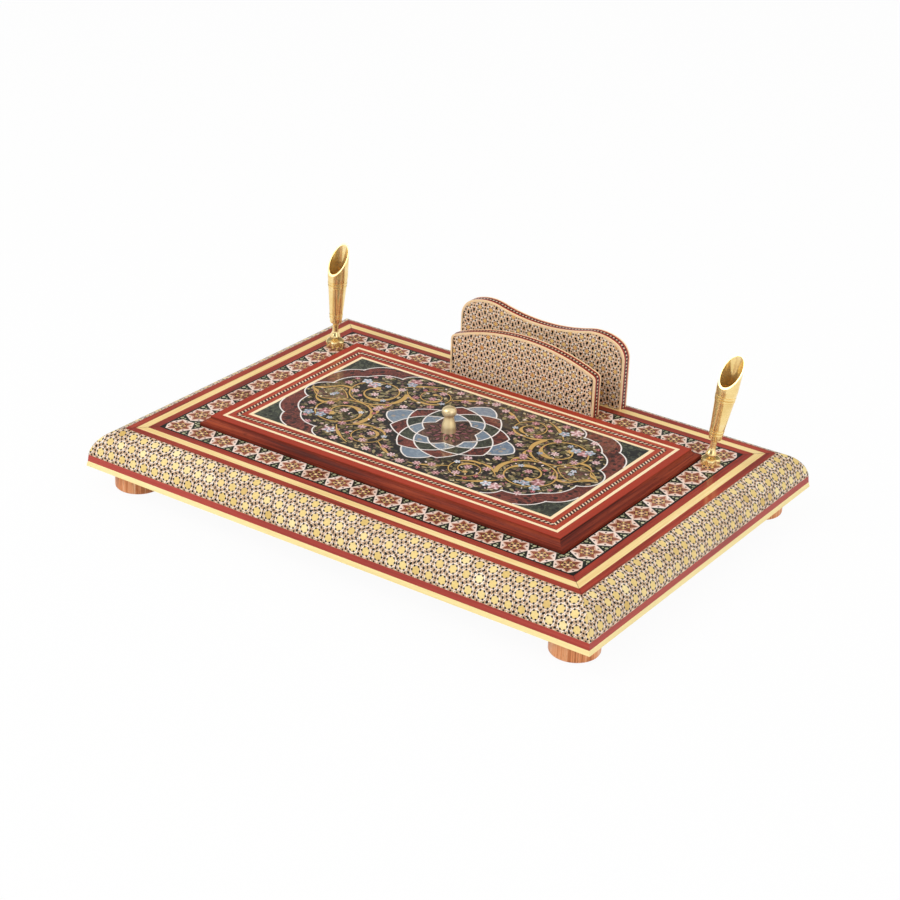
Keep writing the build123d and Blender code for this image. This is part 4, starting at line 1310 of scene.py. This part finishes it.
@dataclass
class Rack:
    """Letter rack: two boards with star inlay on both faces and a banded edge."""

    finishes: Finishes
    deck_top: float
    pitch: float = 9.55
    rise: float = 9.2
    thickness: float = 8.2
    centre_x: float = -4.6
    inset: float = 1.3
    edge_pitch: float = 2.6
    seed: int = 90

    @staticmethod
    def front_outline() -> Array:
        """Points along the front board's edge, from its lower left corner over its one arch to its lower right."""
        half, height, arch, corner = 60.2, 42.6, 151.5, 4.0
        x = np.linspace(-half, half, 120)
        line = stacked(x, height - arch + np.sqrt(arch**2 - x**2))[np.abs(x) <= half - corner]
        ends = [
            arc((half - corner, float(line[index, 1]) - corner), corner, 0, math.pi / 2, 10) * [way, 1]
            for index, way in ((0, -1), (-1, 1))
        ]
        return np.concatenate([[[-half, 0.0]], ends[0], line, ends[1][::-1], [[half, 0.0]]])

    @staticmethod
    def back_outline() -> Array:
        """Points along the back board's edge in the same order: two round shoulders with a dip between."""
        half, corner, shoulder, dip_height, peak_x, rise = 68.3, 14.0, 37.0, 46.0, 45.4, 6.1
        slope = 2 * math.atan(rise / peak_x)
        dip = peak_x / math.sin(slope) - shoulder
        shoulder_y = dip_height + rise - shoulder
        corner_x = half - corner
        turn = math.asin((corner_x - peak_x) / (shoulder - corner))
        corner_y = shoulder_y + (shoulder - corner) * math.cos(turn)
        up = math.pi / 2
        first = arc((-corner_x, corner_y), corner, math.pi, up + turn, 16)
        second = arc((-peak_x, shoulder_y), shoulder, up + turn, up - slope, 24)
        third = arc((0.0, dip_height + dip), dip, -up - slope, -up, 20)
        left = np.concatenate([[[-half, 0.0]], first, second[1:], third[1:]])
        return np.concatenate([left, (left * [-1, 1])[::-1][1:]])

    def face(self, centre_y: float, way: int) -> Surface:
        """Upright face of a board; way is -1 on its front and 1 on its back."""

        def place(u: Array, v: Array, height: Array) -> tuple[Array, Array]:
            """Points and directions."""
            y = centre_y + way * (self.thickness / 2 + height)
            return stacked(self.centre_x + u, y, self.deck_top + v), stacked(0.0 * u, float(way), 0.0)

        return place

    def edge(self, line: Array, centre_y: float) -> Surface:
        """Edge of a board: u is the length along its outline and v the place across its thickness.

        Args:
            line: the board's outline.
            centre_y: middle of its thickness.

        Returns:
            The surface, which leans as the outline does.
        """
        length = np.concatenate([[0.0], np.cumsum(np.linalg.norm(np.diff(line, axis=0), axis=1))])
        run = np.gradient(line, length, axis=0)
        out = stacked(-run[:, 1], run[:, 0])
        out /= np.linalg.norm(out, axis=1, keepdims=True)

        def place(u: Array, v: Array, height: Array) -> tuple[Array, Array]:
            """Points and directions, straight between the outline's points."""
            x, z, nx, nz = (np.interp(u, length, column) for column in (*line.T, *out.T))
            points = stacked(self.centre_x + x + nx * height, centre_y + v, self.deck_top + z + nz * height)
            return points, stacked(nx, 0.0, nz)

        return place

    def build_board(self, name: str, line: Array, centre_y: float) -> None:
        """Lays the inlay on both faces and the patterned line on the edge of one board.

        Args:
            name: the board's name.
            line: its outline.
            centre_y: middle of its thickness.
        """
        half, high = (float(value) for value in line.max(axis=0))
        spread = line[:, 0] * (half - self.inset) / half
        order = np.argsort(spread, kind="stable")
        columns = np.linspace(-half, half, 400)
        tops = np.interp(columns, spread[order], line[order, 1])

        def keep(points: Array) -> Array:
            """Draws corners past the sheet's outline back to it."""
            u = np.clip(points[:, 0], -half + self.inset, half - self.inset)
            return stacked(u, np.clip(points[:, 1], 0.1, np.interp(u, columns, tops) - self.inset))

        finishes = [self.finishes[finish] for finish in ("rack_bone", "orange_wood", "ebony", "white_bone")]
        for way, word in ((-1, "face"), (1, "rear")):
            seed = self.seed + way
            khatam = Khatam(self.pitch, self.rise, seed, (0.16, 0.1), (0.235, 0.265), 0.85, DENSE_ROUNDS)
            prefix, face = f"rack_{name}_{word}", self.face(centre_y, way)
            for piece in khatam.cover(prefix, (-half, 0.0), (half, high), keep, face, finishes):
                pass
        length = float(np.linalg.norm(np.diff(line, axis=0), axis=1).sum())
        count = int(length / self.edge_pitch)
        spots = stacked((np.arange(count) + 0.5) * length / count, 0.0)
        names = (f"rack_{name}_edge_squares", f"rack_{name}_edge_wedges")
        tiles = [
            [(-1.32, -1.25), (1.32, -1.25), (1.32, 1.25), (-1.32, 1.25)],
            [(-0.75, -0.3), (-0.15, 0.9), (0.75, 0.3), (0.15, -0.9)],
        ]
        lay_row(names, tiles, spots, [0.5, 0.5], self.edge(line, centre_y), self.finishes, "base")

    def dress(self, nodes: Solids) -> None:
        """Finishes the solids of the rack."""
        parts = {
            "core": "carcass_wood", "edge_band": "rack_red_wood", "cream_lines": "rack_cream_wood",
            "khatam": "rack_bone_ground",
        }
        table = {f"rack_{name}_{part}": parts[part] for name in ("front", "back") for part in parts}
        give(nodes, self.finishes, table | {"rack_dowels": "carcass_wood"})


@dataclass
class Holders:
    """The two pen holders."""

    finishes: Finishes

    def dress(self, nodes: Solids) -> None:
        """Finishes the brass and the lock nuts."""
        parts = {word: "polished_brass" for word in ("holder_base", "ball_stud", "funnel")}
        parts["lock_nut"] = "zinc_plated_steel"
        table = {f"{hand}_{part}": finish for hand in ("left", "right") for part, finish in parts.items()}
        give(nodes, self.finishes, table)


@dataclass
class Lining:
    """Felt glued to the floor of the well: its number of corners each way, its margin and its thickness."""

    finishes: Finishes
    counts: tuple[int, int] = (90, 50)
    margin: float = 0.3
    thickness: float = 0.8

    def build(self) -> None:
        """Makes the felt: a grid whose height is the floor's plus two slow waves, thickened downwards."""
        low, high = (np.array(corner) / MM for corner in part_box("well_lining"))
        wide, deep = self.counts
        x = np.linspace(low[0] + self.margin, high[0] - self.margin, wide)
        y = np.linspace(low[1] + self.margin, high[1] - self.margin, deep)
        u, v = np.meshgrid(x, y, indexing="ij")
        top = high[2] - 0.12 + 0.06 * np.sin(u * 0.21) * np.cos(v * 0.17) + 0.04 * np.sin(u * 0.53 + v * 0.4)
        i = (np.arange(wide - 1)[:, None] * deep + np.arange(deep - 1)[None]).ravel()
        faces = stacked(i, i + deep, i + deep + 1, i + 1)
        felt = make_piece("well_felt", stacked(u, v, top).reshape(-1, 3), faces, self.finishes["wool_felt"], "base")
        solid = felt.modifiers.new("thickness", "SOLIDIFY")
        solid.thickness = self.thickness * MM
        solid.offset = -1.0
        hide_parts("well_lining")


@dataclass
class Studio:
    """Camera, lamps, floor and background.

    A lamp has a name, a place, a size and a power, in metres and watts. The belt is how white the background is
    at some heights, for what is seen and mirrored.
    """

    azimuth: float = 0.593433284
    elevation: float = 0.450233261
    roll: float = 0.040522142
    distance: float = 1473.237
    aim: tuple[float, float, float] = (8.0182, -12.4517, 42.9)
    lens: float = 88.287
    lamps: tuple[tuple, ...] = (
        ("key_lamp", (-0.9, -1.3, 1.5), 1.5, 22.0), ("right_lamp", (1.5, -0.3, 0.9), 1.1, 6.0),
        ("back_lamp", (0.8, 1.3, 1.2), 1.2, 4.0),
    )
    belt: tuple[Pair, ...] = ((0.2, 1.0), (0.36, 0.12), (0.58, 0.12), (0.8, 0.85))
    daylight: float = 0.62
    floor_reach: float = 9.0
    floor_white: float = 0.86
    floor_unshaded: float = 0.95

    @staticmethod
    def stand(name: str, data: bpy.types.ID, axes: list[Array], place: Array) -> bpy.types.Object:
        """Adds a camera or lamp.

        Args:
            name: its name.
            data: its settings.
            axes: its own x, y and z; it looks against z.
            place: where it is, in metres.

        Returns:
            The new object.
        """
        item = add_object(name, data)
        matrix = np.eye(4)
        matrix[:3] = stacked(*axes, place)
        item.matrix_world = Matrix(matrix.tolist())
        return item

    def camera(self) -> None:
        """Sets the camera: it looks at the aim from the distance, turned about its own axis by the roll."""
        az, el, roll = self.azimuth, self.elevation, self.roll
        back = np.array([math.sin(az) * math.cos(el), -math.cos(az) * math.cos(el), math.sin(el)])
        right = np.array([math.cos(az), math.sin(az), 0.0])
        up = np.cross(back, right)
        across = math.cos(roll) * right + math.sin(roll) * up
        upward = -math.sin(roll) * right + math.cos(roll) * up
        data = bpy.data.cameras.new("camera")
        data.lens = self.lens
        data.clip_end = 50.0
        place = (np.array(self.aim) + back * self.distance) * MM
        bpy.context.scene.camera = self.stand("camera", data, [across, upward, back], place)

    def lamp(self, name: str, place: tuple[float, float, float], size: float, power: float) -> None:
        """Adds a square soft lamp that faces the box."""
        data = bpy.data.lights.new(name, "AREA")
        data.size = size
        data.energy = power
        back = np.array(place) - np.array([0.0, 0.0, 0.03])
        back /= np.linalg.norm(back)
        right = np.cross([0.0, 0.0, 1.0], back)
        right /= np.linalg.norm(right)
        self.stand(name, data, [right, np.cross(back, right), back], np.array(place))

    @staticmethod
    def end(tree: Tree, kind: str, share: Socket | Value, first: Node, second: Node) -> None:
        """Ends a node tree in two shaders mixed by a share.

        Args:
            tree: the node tree.
            kind: type of its last node.
            share: how much of the second shader shows.
            first: the first shader.
            second: the second shader.
        """
        mixed = add_node(tree, "MixShader", {0: share, 1: first.outputs[0], 2: second.outputs[0]})
        add_node(tree, kind, {0: mixed.outputs[0]})

    def world(self) -> None:
        """White low and high with a dark belt between for what is seen and mirrored, plain white for light."""
        world = bpy.data.worlds.new("studio")
        bpy.context.scene.world = world
        tree = cleared(world)
        apart = add_node(tree, "SeparateXYZ", {0: add_node(tree, "TexCoord").outputs["Generated"]})
        seen = add_node(tree, "Background", {"Color": Value(apart.outputs[2]).ramp(self.belt)})
        light = add_node(tree, "Background", {"Color": (1.0, 0.99, 0.97, 1.0), "Strength": self.daylight})
        self.end(tree, "OutputWorld", add_node(tree, "LightPath").outputs["Is Diffuse Ray"], seen, light)

    def floor(self) -> None:
        """White floor that keeps a faint shadow: part plain white, part a white that rays see unshaded."""
        mesh = bpy.data.meshes.new("floor")
        corners = [(x * self.floor_reach, y * self.floor_reach, 0.0) for x, y in QUARTERS]
        mesh.from_pydata(corners, [], [(0, 1, 2, 3)])
        floor = add_object("floor", mesh)
        material = bpy.data.materials.new("white_floor")
        tree = cleared(material)
        path = add_node(tree, "LightPath").outputs
        seen = Value(path["Is Camera Ray"]).math("MAXIMUM", Value(path["Is Glossy Ray"]))
        seen = seen.math("MAXIMUM", Value(path["Is Transmission Ray"])) * self.floor_unshaded
        plain = add_node(tree, "BsdfDiffuse", {"Color": (*[self.floor_white] * 3, 1.0)})
        white = add_node(tree, "Emission", {"Color": (1.0, 1.0, 1.0, 1.0)})
        self.end(tree, "OutputMaterial", seen, plain, white)
        mesh.materials.append(material)

    def build(self) -> None:
        """Sets everything round the object."""
        self.camera()
        for lamp in self.lamps:
            self.lamp(*lamp)
        self.world()
        self.floor()
        bpy.context.scene.view_settings.view_transform = "Standard"


def main() -> None:
    """Builds the box in order."""
    logging.basicConfig(level=logging.INFO, format="%(message)s")
    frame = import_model()
    nodes = frame["nodes"]
    deck = Frame(half_x=181.2, half_y=123.8, centre_y=0.0, top=42.9)
    lid_frame = Frame(half_x=134.4, half_y=76.0, centre_y=-1.9, top=49.85)
    finishes = make_finishes(deck, lid_frame)

    base = Base(finishes, deck)
    base.dress(nodes)
    base.build_moulding()
    base.build_star_band()
    base.build_seams()
    lid = Lid(finishes, lid_frame)
    lid.dress(nodes)
    lid.build_border()
    PaintedPanel(finishes, lid_frame).build()
    rack = Rack(finishes, deck.top)
    rack.dress(nodes)
    rack.build_board("front", rack.front_outline(), centre_y=95.2)
    rack.build_board("back", rack.back_outline(), centre_y=119.1)
    Holders(finishes).dress(nodes)
    Lining(finishes).build()
    Studio().build()


if __name__ == "__main__":
    main()
